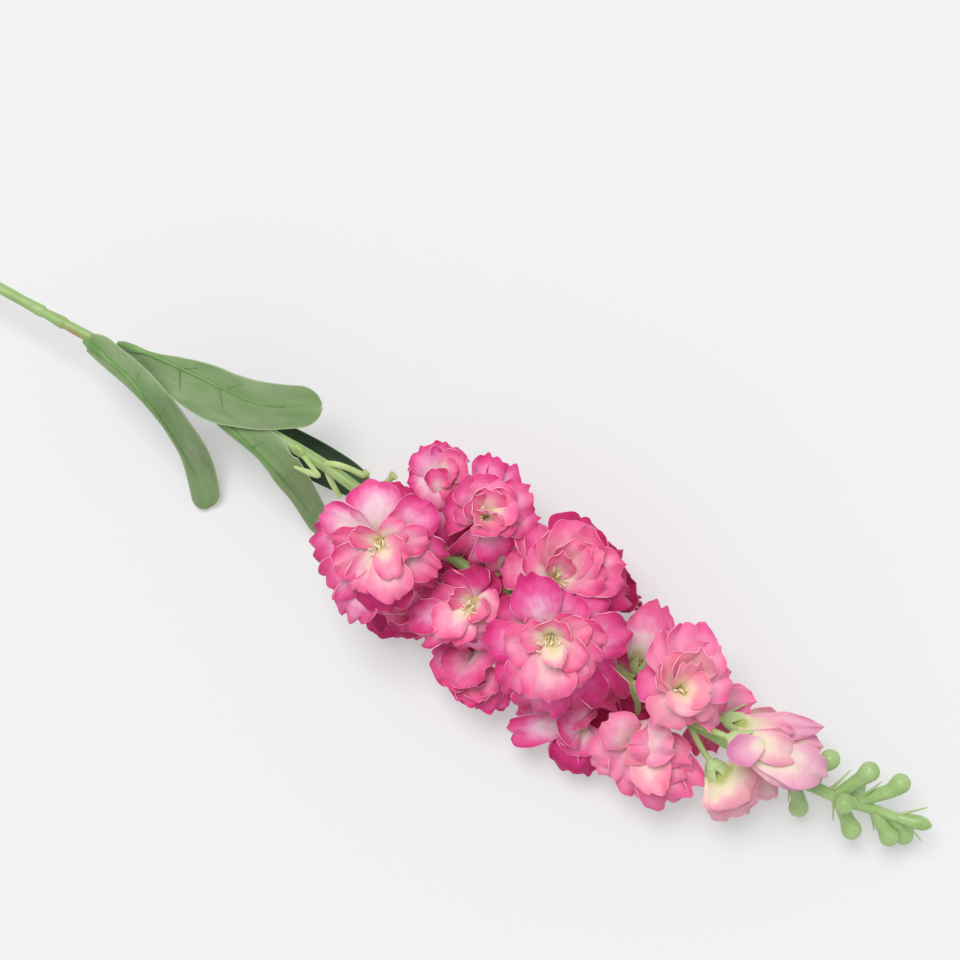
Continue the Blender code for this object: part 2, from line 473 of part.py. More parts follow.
def ring_petals(bloom, cell):
    """The petals of a bloom that the photograph hides, raised where a neighbour leaves less room."""
    draw = random.Random(bloom.name)
    facing = unit(bloom.facing)
    right, up = flower_axes(facing)
    heart = np.asarray(bloom.heart, float)
    petals = []
    for level, (count, ring) in enumerate(zip(bloom.whorls, RINGS)):
        for index in range(count):
            angle = math.radians(bloom.turn + 360 * (index + 0.5 * level) / count + draw.uniform(-9, 9))
            length = bloom.radius * ring.length * draw.uniform(0.93, 1.05)
            open_share = bloom.openness
            rise_root = ring.rise_root * open_share + CLOSED_RISE[0] * (1 - open_share)
            rise_tip = ring.rise_tip * open_share + CLOSED_RISE[1] * (1 - open_share) + draw.uniform(-8, 8)
            outward = right * math.cos(angle) + up * math.sin(angle)
            free = free_reach(heart, outward, cell)
            crowding = max(0.0, 1 - free / (length * math.cos(math.radians(max(rise_tip, 0)))))
            rise_tip += (80 - rise_tip) * min(1.0, 0.85 * crowding)
            rise_root += (80 - rise_root) * min(1.0, 0.5 * crowding)
            width = length * ring.width * (0.6 + 0.4 * open_share) * draw.uniform(0.92, 1.06)
            margin = PETAL_THICKNESS / 2 + 0.1 + LAYER_STEP * (1.4 * level + (index * 0.618) % 1)
            petals.append(RingPetal(level, angle, length, width, rise_root, rise_tip, ring.cup,
                                    ring.root_height, math.radians(14), 0.05, draw.uniform(0, 6.28), margin))
    return petals


def petal_width(share, claw=0.1):
    """The half width of a petal along its length, from its claw to a broad round end."""
    rising = np.sin(np.pi / 2 * np.clip(share / 0.66, 0, 1)) ** 1.2
    ending = 1 - 0.3 * (np.clip((share - 0.66) / 0.34, 0, 1)) ** 2
    return 0.5 * (claw + (1 - claw) * rising) * ending


def ring_petal_surface(bloom, petal, along, across):
    """Points of a petal's middle surface for arrays of shares along it, 0 to 1, and across it, -1 to 1."""
    facing = unit(bloom.facing)
    right, up = flower_axes(facing)
    outward = right * math.cos(petal.angle) + up * math.sin(petal.angle)
    sideways = np.cross(facing, outward)
    fine = np.linspace(0, 1, 41)
    rise = np.radians(petal.rise_root + (petal.rise_tip - petal.rise_root) * fine ** 1.1)
    step = petal.length / 40
    distance = 0.8 + np.concatenate(((0,), np.cumsum(np.cos(rise[1:]) * step)))
    height = petal.root_height * bloom.radius * HEART_HEIGHT + np.concatenate(
        ((0,), np.cumsum(np.sin(rise[1:]) * step)))
    share = along * (1 - 0.16 * across ** 2)
    slope = np.interp(share, fine, rise)
    side = across * petal.width * petal_width(share) * math.cos(petal.twist)
    lift = petal.cup * petal.width * across ** 2 * np.sin(np.pi * np.clip(share, 0, 0.75))
    lift = lift + petal.ruffle * petal.length * share ** 2 * np.sin(3.4 * across + 2.5 * share + petal.phase)
    lift = lift + side * math.tan(petal.twist)
    reach = np.interp(share, fine, distance)
    turn = np.arctan2(side, reach)
    reach = reach + (np.hypot(side, reach) - reach) * 0.8 * np.cos(slope) ** 2
    reach = reach - lift * np.sin(slope)
    tall = np.interp(share, fine, height) + lift * np.cos(slope)
    return (bloom_base(bloom) + GAP * facing + (reach * np.cos(turn))[..., None] * outward
            + (reach * np.sin(turn))[..., None] * sideways + tall[..., None] * facing)


def wide_open(bloom):
    """Whether a bloom shows its heart, so that its inner petals stand higher on the peg."""
    return bloom.openness > 0.72


def calyx_radius(bloom):
    return CALYX_RADIUS_HALF_OPEN if bloom.name.startswith("half") else CALYX_RADIUS


def root_spread(bloom):
    """How far from a flower's middle its petals are rooted: half-open flowers are tubes at the foot."""
    return 2.2 if bloom.name.startswith("half") else 0.9


def petal_midline(bloom, petal, share):
    """Points of a shown petal's middle line, and its inner face's normal, at shares of its length."""
    facing = unit(bloom.facing)
    tip = place_pixel(petal.tip, petal.height)
    rise = 0.25 + 0.55 * petal.inner if wide_open(bloom) else 0.05 + 0.15 * petal.inner
    root = bloom_base(bloom) + facing * (GAP + bloom.radius * HEART_HEIGHT * rise)
    root = root + root_spread(bloom) * unit(tip - root - np.dot(tip - root, facing) * facing)
    chord = tip - root
    length = np.linalg.norm(chord)
    open_side = unit((1 - petal.up) * facing + petal.up * np.array((0, 0, 1.0)))
    normal = unit(open_side - np.dot(open_side, chord) / length ** 2 * chord)
    bulge = petal.arch * length
    second = root + 0.34 * chord + 1.05 * bulge * normal
    third = root + 0.8 * chord + 0.85 * bulge * normal
    t = share[:, None]
    line = (1 - t) ** 3 * root + 3 * (1 - t) ** 2 * t * second + 3 * (1 - t) * t ** 2 * third + t ** 3 * tip
    slope = 3 * (1 - t) ** 2 * (second - root) + 6 * (1 - t) * t * (third - second)
    slope += 3 * t ** 2 * (tip - third)
    slope /= np.linalg.norm(slope, axis=1)[:, None]
    sideways = unit(np.cross(normal, chord))
    return line, np.cross(slope, sideways), sideways, length


def shown_petal_surface(bloom, petal, along, across):
    """The same for a petal that the photograph shows, along its middle line from the calyx to its tip."""
    share = along * (1 - 0.16 * across ** 2)
    line, normal, sideways, _ = petal_midline(bloom, petal, share)
    claw = 0.36 if bloom.name.startswith("half") else 0.1
    side = across * petal.width * petal_width(share, claw)
    lift = (0.18 - 0.5 * petal.arch) * petal.width * across ** 2 * np.sin(np.pi * np.clip(share, 0, 0.8))
    return line + side[:, None] * sideways + lift[:, None] * normal


def clear_scene():
    for obj in list(bpy.data.objects):
        bpy.data.objects.remove(obj, do_unlink=True)


def make_material(name, colour, roughness):
    material = bpy.data.materials.new(name)
    material.use_nodes = True
    shader = material.node_tree.nodes["Principled BSDF"]
    shader.inputs["Base Color"].default_value = colour
    shader.inputs["Roughness"].default_value = roughness
    shader.inputs["Metallic"].default_value = 0.0
    return material


def add_object(name, mesh, collection):
    obj = bpy.data.objects.new(name, mesh)
    collection.objects.link(obj)
    return obj


def weld_caps(mesh):
    """Joins a tube's loose end caps to its side."""
    work = bmesh.new()
    work.from_mesh(mesh)
    bmesh.ops.remove_doubles(work, verts=work.verts, dist=1e-6)
    work.to_mesh(mesh)
    work.free()


def as_mesh(obj, collection):
    """The object as the viewport evaluates it, as a new mesh object under the same name."""
    bpy.context.view_layer.update()
    mesh = bpy.data.meshes.new_from_object(obj.evaluated_get(bpy.context.evaluated_depsgraph_get()))
    if obj.type == "CURVE":
        weld_caps(mesh)
    made = add_object(obj.name + "_mesh", mesh, collection)
    made.matrix_world = obj.matrix_world
    name = obj.name
    bpy.data.objects.remove(obj, do_unlink=True)
    made.name = name
    return made


def keep_main_body(mesh):
    """Drops loose scraps of fabric, and fills sealed hollows by dropping their inner walls."""
    work = bmesh.new()
    work.from_mesh(mesh)
    waiting = set(work.verts)
    shells = []
    while waiting:
        shell = [waiting.pop()]
        for vert in shell:
            beyond = {edge.other_vert(vert) for edge in vert.link_edges} & waiting
            waiting -= beyond
            shell.extend(beyond)
        shells.append(shell)
    shells.sort(key=len)
    loose = [vert for shell in shells[:-1] for vert in shell]
    bmesh.ops.delete(work, geom=loose, context="VERTS")
    work.to_mesh(mesh)
    work.free()


def add_tube(name, route, radii, sides_level, collection):
    """A round tube along a route in millimetres, with a radius at each point and filled caps."""
    curve = bpy.data.curves.new(name, "CURVE")
    curve.dimensions = "3D"
    curve.bevel_depth = MM
    curve.bevel_resolution = sides_level
    curve.use_fill_caps = True
    spline = curve.splines.new("POLY")
    spline.points.add(len(route) - 1)
    for point, place, radius in zip(spline.points, route, radii):
        point.co = (*(np.asarray(place, float) * MM), 1)
        point.radius = float(radius)
    obj = add_object(name, curve, collection)
    return as_mesh(obj, collection)


def add_sheet(name, surface, rows, columns, thickness, collection):
    """A thin blade: a grid shaped by a formula, split into triangles and thickened about its middle."""
    work = bmesh.new()
    bmesh.ops.create_grid(work, x_segments=columns, y_segments=rows, size=1.0)
    work.verts.ensure_lookup_table()
    across = np.array([vert.co.x for vert in work.verts])
    along = np.array([(vert.co.y + 1) / 2 for vert in work.verts])
    for vert, place in zip(work.verts, surface(along, across)):
        vert.co = place * MM
    bmesh.ops.triangulate(work, faces=work.faces)
    mesh = bpy.data.meshes.new(name)
    work.to_mesh(mesh)
    work.free()
    obj = add_object(name, mesh, collection)
    solid = obj.modifiers.new("thickness", "SOLIDIFY")
    solid.thickness = thickness * MM
    solid.offset = 0.0
    return as_mesh(obj, collection)


def add_cone(name, foot, facing, height, radius_foot, radius_top, sides, collection):
    """A cone or drum that stands on its foot and points along facing."""
    work = bmesh.new()
    bmesh.ops.create_cone(work, cap_ends=True, cap_tris=False, segments=sides, radius1=radius_foot * MM,
                          radius2=radius_top * MM, depth=height * MM)
    right, up = flower_axes(facing)
    middle = np.asarray(foot, float) + facing * height / 2
    for vert in work.verts:
        vert.co = middle * MM + right * vert.co.x + up * vert.co.y + facing * vert.co.z
    mesh = bpy.data.meshes.new(name)
    work.to_mesh(mesh)
    work.free()
    return add_object(name, mesh, collection)


def fuse(name, body, others, material, collection):
    """One solid made of a body and all that grows from it, under the given name."""
    joined = bpy.data.collections.new(name + "_pieces")
    for other in others:
        joined.objects.link(other)
    union = body.modifiers.new("grown together", "BOOLEAN")
    union.operation = "UNION"
    union.operand_type = "COLLECTION"
    union.collection = joined
    union.solver = "EXACT"
    body.name = name
    made = as_mesh(body, collection)
    for other in others:
        bpy.data.objects.remove(other, do_unlink=True)
    bpy.data.collections.remove(joined)
    keep_main_body(made.data)
    made.data.materials.clear()
    made.data.materials.append(material)
    return made


def petal_surfaces(bloom, cell):
    """The formula of each petal of a bloom, kept in the bloom's room."""
    heart = np.asarray(bloom.heart, float)
    surfaces = []
    if bloom.name in PETALS:
        for index, petal in enumerate(PETALS[bloom.name]):
            if petal.inner > FINEST_HEART_PETAL and not bloom.name.startswith("half"):
                continue
            margin = PETAL_THICKNESS / 2 + 0.1 + LAYER_STEP * ((index * 0.618) % 1 + petal.inner)

            def surface(along, across, petal=petal, margin=margin):
                points = shown_petal_surface(bloom, petal, along, across)
                return settle(points, heart, cell, petal.inner, margin)

            surfaces.append(surface)
    else:
        for petal in ring_petals(bloom, cell):
            def surface(along, across, petal=petal):
                points = ring_petal_surface(bloom, petal, along, across)
                return settle(points, heart, cell, petal.level, petal.margin)

            surfaces.append(surface)
    return surfaces


def build_bloom(bloom, green_routes, material, collection):
    """A layered flower: a small core that the petals' roots are sunk into."""
    facing = unit(bloom.facing)
    cell = bloom_cell(bloom, green_routes)
    foot = bloom_base(bloom) + GAP * facing
    spread = root_spread(bloom)
    layered = bloom.name in PETALS and wide_open(bloom)
    tall = bloom.radius * HEART_HEIGHT + 1.0 if layered else 3.0
    core = add_cone(bloom.name, foot, facing, tall, spread + 1.1, spread + 1.6, 8, collection)
    petals = []
    for index, surface in enumerate(petal_surfaces(bloom, cell)):
        name = f"{bloom.name}_petal_{index}"
        petals.append(add_sheet(name, surface, PETAL_ROWS, PETAL_COLUMNS, PETAL_THICKNESS, collection))
    return fuse(bloom.name, core, petals, material, collection)


def clear_of_stem(points, room):
    """Bends points round the main stem, so that a leaf rests on it and doesn't cut it."""
    axis = np.array([stem_point(x) for x in points[:, 0]])
    away = points[:, 1:] - axis[:, 1:]
    distance = np.linalg.norm(away, axis=1)
    wanted = np.array([stem_radius(x) for x in points[:, 0]]) + room
    push = np.maximum(wanted / np.maximum(distance, 0.01), 1.0)
    points = points.copy()
    points[:, 1:] = axis[:, 1:] + away * push[:, None]
    return points


def leaf_route(leaf):
    """A leaf's middle line, and the distance along it at each of its points."""
    route = smooth_route(place_route(leaf.rib), 6)
    return route, np.concatenate(((0,), np.cumsum(np.linalg.norm(np.diff(route, axis=0), axis=1))))


def leaf_surface(leaf, along, across):
    """Points of a blade's middle surface, with its normals, half widths and the distance along the rib."""
    route, steps = leaf_route(leaf)
    tangents = np.gradient(route, axis=0)
    tangents /= np.linalg.norm(tangents, axis=1)[:, None]
    reach = (0.02 + 0.98 * along) * steps[-1]
    middle = np.stack([np.interp(reach, steps, route[:, axis]) for axis in range(3)], axis=-1)
    tangent = np.stack([np.interp(reach, steps, tangents[:, axis]) for axis in range(3)], axis=-1)
    left = np.cross(np.array((0, 0, 1.0)), tangent)
    left /= np.linalg.norm(left, axis=1)[:, None]
    normal = np.cross(tangent, left)
    widths, folds = [], []
    for half in (leaf.left, leaf.right):
        widths.append(np.interp(reach, steps, smooth_values(half.widths, 6)))
        folds.append(np.tan(np.radians(np.interp(reach / steps[-1], (0, 0.45, 0.85), half.folds))))
    width = np.where(across > 0, widths[0], widths[1])
    end_room = 0.45 * (leaf.left.widths[-1] + leaf.right.widths[-1])
    rounded = np.sqrt(np.clip(1 - np.clip((reach - steps[-1] + end_room) / end_room, 0, 0.99) ** 2, 0, 1))
    side = across * width * rounded
    lift = np.abs(side) * np.where(across > 0, folds[0], folds[1])
    lift = lift + 0.45 * np.abs(across) * np.sin(0.11 * reach + 2 * across)
    blade = middle + left * side[:, None] + normal * lift[:, None]
    points = clear_of_stem(blade, LEAF_THICKNESS / 2 + GAP + 0.3)
    points[:, 2] = np.maximum(points[:, 2], LEAF_THICKNESS / 2)
    return points, normal, width * rounded, reach


def build_leaf(leaf, material, collection):
    """A fabric leaf with a raised rib whose foot meets the stem."""
    def surface(along, across):
        return leaf_surface(leaf, along, across)[0]

    blade = add_sheet(leaf.name, surface, LEAF_ROWS, LEAF_COLUMNS, LEAF_THICKNESS, collection)
    route = place_route(leaf.rib)[:-1] + np.array((0, 0, 0.3))
    route = clear_of_stem(route, 1.5 * RIB_RADIUS + GAP)
    radii = np.linspace(1.5 * RIB_RADIUS, 0.5 * RIB_RADIUS, len(route))
    rib = add_tube(leaf.name + "_rib", route, radii, 1, collection)
    return fuse(leaf.name, blade, [rib], material, collection)


def stem_body(collection):
    """The main stem's tube, which swells at its nodes."""
    places = sorted(set([point[0] for point in STEM_ROUTE[2:]]) | set(range(90, 600, 40)))
    plain = [x for x in places if all(abs(x - node) > 7 for node in STEM_NODES)]
    stations = [(x, 1.0) for x in [0, 10] + plain]
    for node in STEM_NODES:
        stations += [(node - 2, 1.0), (node, NODE_SWELLING), (node + 5, 1.0)]
    stations.sort()
    route = [stem_point(x) for x, _ in stations]
    radii = [stem_radius(x) * swelling for x, swelling in stations]
    return add_tube("stem", route, radii, 2, collection)


def flower_stalk(bloom, route, collection):
    """A flower's stalk, which widens into the calyx cup that carries the petals."""
    facing = unit(bloom.facing)
    route = np.vstack((route, route[-1] + facing * CALYX_HEIGHT))
    radii = (*np.linspace(STALK_RADIUS * 1.35, STALK_RADIUS, len(route) - 1), calyx_radius(bloom))
    return add_tube(bloom.name + "_stalk", route, radii, 1, collection)


def build_stem(stalks, material, collection):
    """The green moulding: main stem, flower stalks with calyx cups, bracts and nubs."""
    others = [flower_stalk(bloom, route, collection) for bloom, route in zip(BLOOMS, stalks)]
    for index, (route, radii) in enumerate(STEM_SHOOTS):
        others.append(add_tube(f"stem_shoot_{index}", place_route(route), radii, 1, collection))
    return fuse("stem", stem_body(collection), others, material, collection)


def drumstick(name, root, bend, head, collection):
    """A green bud: a stout stalk that bends and ends in a round head."""
    root, bend, head = (np.asarray(place, float) for place in (root, bend, head))
    tip = head + unit(head - bend) * BUD_HEAD_RADIUS
    ahead = unit(head - bend)
    route = (root, bend - ahead * 0.5, head - ahead * 1.4, head, head + ahead * 2.2, tip)
    radii = (BUD_STALK_RADIUS * 0.8, BUD_STALK_RADIUS * 1.15, BUD_HEAD_RADIUS * 0.86, BUD_HEAD_RADIUS,
             BUD_HEAD_RADIUS * 0.76, BUD_HEAD_RADIUS * 0.3)
    return add_tube(name, route, radii, 2, collection)


def build_bud_tip(material, collection):
    """The unopened end of the spike: a short axis, drumstick buds, a pointed end bud and needle bracts."""
    route = smooth_route(BUD_TIP_ROUTE, 1)
    body = add_tube("bud_tip", route, np.linspace(2.5, STEM_RADIUS_SPIKE, len(route)), 2, collection)
    others = [drumstick(f"bud_{index}", *places, collection) for index, places in enumerate(BUDS)]
    others.append(add_tube("bud_end", smooth_route(END_BUD, 2), (1.6, 2.3, 2.9, 2.4, 0.5), 2, collection))
    for index, (start, end) in enumerate(TIP_NEEDLES):
        radii = (NEEDLE_RADIUS * 1.5, NEEDLE_RADIUS)
        others.append(add_tube(f"needle_{index}", (start, end), radii, 0, collection))
    return fuse("bud_tip", body, others, material, collection)


def stand_at_origin(objects):
    """Moves the whole model so that its origin is the middle of the bottom of its box."""
    corners = np.array([obj.matrix_world @ vert.co for obj in objects for vert in obj.data.vertices])
    low, high = corners.min(axis=0), corners.max(axis=0)
    shift = np.array(((low[0] + high[0]) / 2, (low[1] + high[1]) / 2, low[2]))
    for obj in objects:
        for vert in obj.data.vertices:
            vert.co = np.array(vert.co) - shift
        obj.data.set_sharp_from_angle(angle=math.radians(40))


def main():
    clear_scene()
    collection = bpy.data.collections.new("delphinium_stem")
    bpy.context.scene.collection.children.link(collection)
    deep = make_material("petal_fabric_deep_pink", PETAL_DEEP, FABRIC_ROUGHNESS)
    mid = make_material("petal_fabric_pink", PETAL_MID, FABRIC_ROUGHNESS)
    pale = make_material("petal_fabric_pale", PETAL_PALE, FABRIC_ROUGHNESS)
    leaf_back = make_material("leaf_fabric_back", LEAF_BACK, FABRIC_ROUGHNESS)
    leaf_face = make_material("leaf_fabric_face", LEAF_FACE, FABRIC_ROUGHNESS)
    stem_green = make_material("stem_plastic", STEM_GREEN, PLASTIC_ROUGHNESS)
    bud_green = make_material("bud_plastic", BUD_GREEN, PLASTIC_ROUGHNESS)

    stalks = [stalk_route(bloom) for bloom in BLOOMS]
    green_routes = [("stem", smooth_route(STEM_ROUTE[5:], 1), STEM_RADIUS_CUT_END)]
    green_routes += [(bloom.name, route, STALK_RADIUS * 1.35) for bloom, route in zip(BLOOMS, stalks)]
    green_routes += [("shoot", place_route(route), 1.6) for route, _ in STEM_SHOOTS]
    green_routes += [("bud_tip", BUD_TIP_ROUTE, 2.0)]
    green_routes += [("bud", (root, head), BUD_HEAD_RADIUS) for root, _, head in BUDS]
    green_routes = [(owner, np.asarray(route, float), radius) for owner, route, radius in green_routes]

    objects = [build_stem(stalks, stem_green, collection), build_bud_tip(bud_green, collection)]
    for leaf in LEAVES:
        objects.append(build_leaf(leaf, leaf_face if leaf.name == "leaf_4" else leaf_back, collection))
    for bloom in BLOOMS:
        if bloom.name.startswith("half"):
            tone = pale
        else:
            tone = deep if bloom.heart[0] < 545 else mid
        objects.append(build_bloom(bloom, green_routes, tone, collection))
    stand_at_origin(objects)


if __name__ == "__main__":
    main()
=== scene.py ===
"""Looks of an artificial delphinium stem that lies on a pale table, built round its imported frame.

The tables and formulas are in millimetres, in a construction frame whose x = 0 is the stem's cut end and
whose z = 0 is the table. The routes of the stem, stalks, buds and leaves are those of the frame's solids.
"""

import math
import random
from collections import namedtuple

import bpy
import numpy as np
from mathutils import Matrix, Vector


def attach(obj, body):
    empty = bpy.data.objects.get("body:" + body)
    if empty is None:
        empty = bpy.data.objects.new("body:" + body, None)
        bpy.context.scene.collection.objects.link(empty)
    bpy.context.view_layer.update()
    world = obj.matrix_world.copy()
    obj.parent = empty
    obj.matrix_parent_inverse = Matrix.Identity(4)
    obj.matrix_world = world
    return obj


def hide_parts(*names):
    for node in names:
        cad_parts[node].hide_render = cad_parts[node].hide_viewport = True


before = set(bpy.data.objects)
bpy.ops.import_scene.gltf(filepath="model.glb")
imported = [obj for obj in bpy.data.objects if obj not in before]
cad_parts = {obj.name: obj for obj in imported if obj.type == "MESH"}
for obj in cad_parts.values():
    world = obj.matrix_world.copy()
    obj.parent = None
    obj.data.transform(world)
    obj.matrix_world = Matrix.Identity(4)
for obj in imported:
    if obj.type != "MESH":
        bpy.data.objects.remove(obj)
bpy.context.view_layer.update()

bl_info = {
    "name": "Artificial delphinium stem",
    "version": (1, 0, 0),
    "blender": (4, 5, 0),
    "location": "3D View > Sidebar > Delphinium",
    "description": "Dresses a packed delphinium stem with cloth petals, cloth leaves and moulded plastic",
    "category": "Add Mesh",
}

# Driving dimensions in millimetres, most of them shared with the frame's solids
MM = 0.001
GAP = 0.3
STEM_RADIUS_CUT_END = 2.4
STEM_RADIUS_SLIM = 1.95
STEM_RADIUS_SPIKE_FOOT = 2.2
STEM_RADIUS_SPIKE = 1.9
NODE_SWELLING = 1.17
STALK_RADIUS = 1.0
STALK_FOOT_RADIUS = 1.35
CALYX_RADIUS = 2.7
CALYX_RADIUS_HALF_OPEN = 3.6
CALYX_HEIGHT = 4.0
PETAL_THICKNESS = 0.7
LEAF_THICKNESS = 0.7
HEART_HEIGHT = 0.28
SOFT_WALL = 2.0
SOFT_FLOOR = 0.2
LAYER_STEP = 0.8
CLOTH_CLEARANCE = 0.3
SHOOT_ROOM = 1.6
TIP_AXIS_ROOM = 2.0
IMAGE_RIGHT = np.array((0.86, 0.51, 0.0))
IMAGE_UP = np.array((-0.51, 0.86, 0.0))

# How open a bloom is when its petals are ragged, when its inner petals stand high, and when its heart shows
RAGGED_OPENNESS = 0.6
HIGH_OPENNESS = 0.72
HEART_OPENNESS = 0.8

# The rim of an open petal: its waves as (depth, radians from the middle to a side), and one notch. Depths
# are shares of the petal's length
RIM_WAVES = ((0.03, 4.6), (0.015, 10.5), (0.006, 21))
NOTCH_DEPTH = 0.034
NOTCH_WIDTH = 0.2
# The ruffles of a petal as (height, growth along it, radians from the middle to a side, radians along it).
# Heights, here and in the next lines, are shares of the petal's size
RUFFLES = ((0.05, 2, 3.2, 2.2), (0.06, 3, 8, 0), (0.024, 5, 15, 0))
SIDE_RUFFLE = 0.075
CREASE_DEPTH = 0.02
CREASE_WIDTH = 0.12
RIM_CURL = (-0.13, 0.1)
RIM_CURL_FROM = 0.72
# How wide a petal is at its claw as a share of its width, in a flower whose heart shows and in the others
CLAW_OPEN = 0.1
CLAW_CLOSED = 0.4
# How the petals of one flower differ: in brightness and in the depth of their dye
BRIGHTNESS = (0.9, 1.0)
DYE_SPREAD = 0.06

# Petals of the hidden flowers: their reach, their steepest rise and the curl of their tips in degrees, and
# how much deeper their colour is, as painted shade for flowers that lie underneath the others
HIDDEN_REACH = 0.8
STEEPEST_RISE = 80
RING_CURL = (-34, 26)
HIDDEN_PAINTED_SHADE = 0.2
# The moulded peg in a flower's heart
PEG_RADII = (1.5, 1.7, 1.0)
PEG_HEIGHT_CLOSED = 1.6

# Sides of the round tubes
STEM_SIDES = 24
BUD_SIDES = 20
CALYX_SIDES = 16
STALK_SIDES = 12
NEEDLE_SIDES = 8
STAMEN_SIDES = 6

# The order of each piece's materials
PETAL_FACE, PETAL_EDGE, PETAL_THROAT, PETAL_THREAD = range(4)
STEM_SLOT, STALK_SLOT, CALYX_SLOT = range(3)
BUD_SLOT, NEEDLE_SLOT = range(2)
LEAF_UP, LEAF_DOWN, LEAF_EDGE, LEAF_RIB = range(4)

# The camera hangs over the spike and is turned about its own line of sight
CAMERA_OVER = (460, 28)
CAMERA_HEIGHT = 1000
CAMERA_TURN = 30.67
CAMERA_LENS = 100
CAMERA_SENSOR = 36
IMAGE_CENTRE = 480
MM_PER_PIXEL = CAMERA_HEIGHT * CAMERA_SENSOR / CAMERA_LENS / (2 * IMAGE_CENTRE)

# The main stem's route, from the cut end to the last flowers
STEM_ROUTE = (
    (0, -9, 2.4), (10, -9, 2.4), (60, -7, 6.5), (130, -5.5, 12.5), (200, -3.5, 18.5), (273, -1.2, 24.5),
    (307, 0, 27.5), (350, 2, 31.5), (402, 4, 35.5), (430, 2, 37), (470, -1.5, 36), (510, -5, 34.5),
    (549, -8, 32.5), (581, -8.8, 29.5), (606, -8, 26),
)
# The main stem's radius at distances from the cut end
STEM_TAPER = (
    (0, STEM_RADIUS_CUT_END), (250, STEM_RADIUS_SLIM), (340, STEM_RADIUS_SLIM),
    (400, STEM_RADIUS_SPIKE_FOOT), (600, STEM_RADIUS_SPIKE),
)
# A moulding node: it swells over one length and ends over another, and a shallow groove follows it
STEM_NODES = (95, 190, 291, 300, 345)
NODE_SWELL_LENGTH = 3.5
NODE_END_LENGTH = 0.7
GROOVE_AFTER_NODE = 1.6
GROOVE_WIDTH = 0.9
GROOVE_DEPTH = 0.09
# A reddish stain by the root of the first leaf: its middle and reach along the stem, and then round it
Stain = namedtuple("Stain", "along reach round half_width colour")
STEM_STAIN = Stain(306, 7, 9.2, 3.4, "B0685C")

# A bloom: the heart is where its petals part, facing points out of the flower, whorls counts the petals
# from the outer ring in, turn is the first outer petal's angle, openness is 1 for a flat open flower, and
# lean is how far nearer to the cut end its stalk starts
Bloom = namedtuple("Bloom", "name heart facing radius whorls turn openness lean")
BLOOMS = (
    Bloom("bloom_01", (441, -9, 55), (0.04, -0.27, 1.0), 29, (6, 5, 2), 90, 1.0, 16),
    Bloom("bloom_02", (446, 24, 41), (-0.42, 0.91, 0.25), 21, (5, 3), 60, 0.75, 14),
    Bloom("bloom_03", (457, -25, 17), (0.13, -0.7, 0.25), 22, (5, 3), 20, 0.9, 16),
    Bloom("bloom_04", (468, 18, 51), (0.1, 0.25, 1.0), 25, (5, 4), 75, 0.95, 14),
    Bloom("bloom_05", (480, -11, 45), (-0.2, -0.25, 1.0), 25, (5, 4), 30, 0.95, 12),
    Bloom("bloom_06", (501, 11, 49), (0.05, 0.4, 1.0), 28, (5, 3), 80, 0.9, 15),
    Bloom("bloom_07", (510, -7, 58), (0.06, -0.2, 1.0), 30, (6, 5, 2), 125, 1.0, 18),
    Bloom("bloom_08", (494, -34, 17), (0.1, -0.8, 0.25), 23, (5, 3), 10, 0.9, 16),
    Bloom("bloom_09", (537, -34, 17), (0.0, -0.85, 0.25), 27, (5, 3), 50, 0.9, 15),
    Bloom("bloom_10", (542, 5.5, 33), (-0.2, 0.9, 0.25), 22, (4, 1), 30, 0.2, 11),
    Bloom("bloom_11", (558, -25, 22), (0.2, -0.45, 0.85), 27, (5, 3), 0, 0.9, 12),
    Bloom("bloom_12", (560, 0, 48), (0.3, 0.4, 0.9), 27, (5, 3), 60, 0.85, 13),
    Bloom("bloom_13", (577, 4, 17), (0.53, 0.67, -0.1), 19, (4, 2), 30, 0.7, 12),
    Bloom("bloom_14", (519, 18, 15), (0.12, 0.77, -0.1), 23, (5, 3), 40, 0.9, 14),
    Bloom("bloom_15", (482, 16, 17), (-0.13, 0.8, 0.1), 24, (5, 3), 10, 0.9, 14),
    Bloom("bloom_16", (452, 2, 5), (-0.1, 0.1, -1.0), 20, (5, 2), 20, 1.0, 12),
    Bloom("bloom_17", (492, -8, 5), (0.0, -0.1, -1.0), 20, (5, 2), 55, 1.0, 12),
    Bloom("bloom_18", (541, -7, 5), (0.1, 0.0, -1.0), 20, (5, 2), 15, 1.0, 12),
    Bloom("half_open_1", (593.5, -21.7, 25.6), (0.9, -0.43, -0.2), 25, (4, 1), 45, 0.1, 14),
    Bloom("half_open_2", (591, 3.5, 28), (0.88, 0.47, 0.0), 30, (4, 1), 0, 0.2, 12),
    Bloom("half_open_3", (595.5, -3.8, 45), (0.97, 0.15, -0.1), 33, (4, 2), 40, 0.2, 12),
    Bloom("half_open_4", (600, -14, 11), (0.82, -0.3, -0.1), 16, (4, 1), 10, 0.5, 10),
)
# The rings of petals from the outer one in: length as a share of the radius, width as a share of the length,
# rise at the root and at the tip in degrees above the flower's plane for an open bloom
Ring = namedtuple("Ring", "length width rise_root rise_tip cup root_height")
RINGS = (
    Ring(1.0, 0.86, 42, -12, 0.05, 0.3),
    Ring(0.76, 0.86, 62, 18, 0.16, 0.6),
    Ring(0.5, 0.85, 80, 48, 0.22, 0.9),
)
CLOSED_RISE = (28, 102)
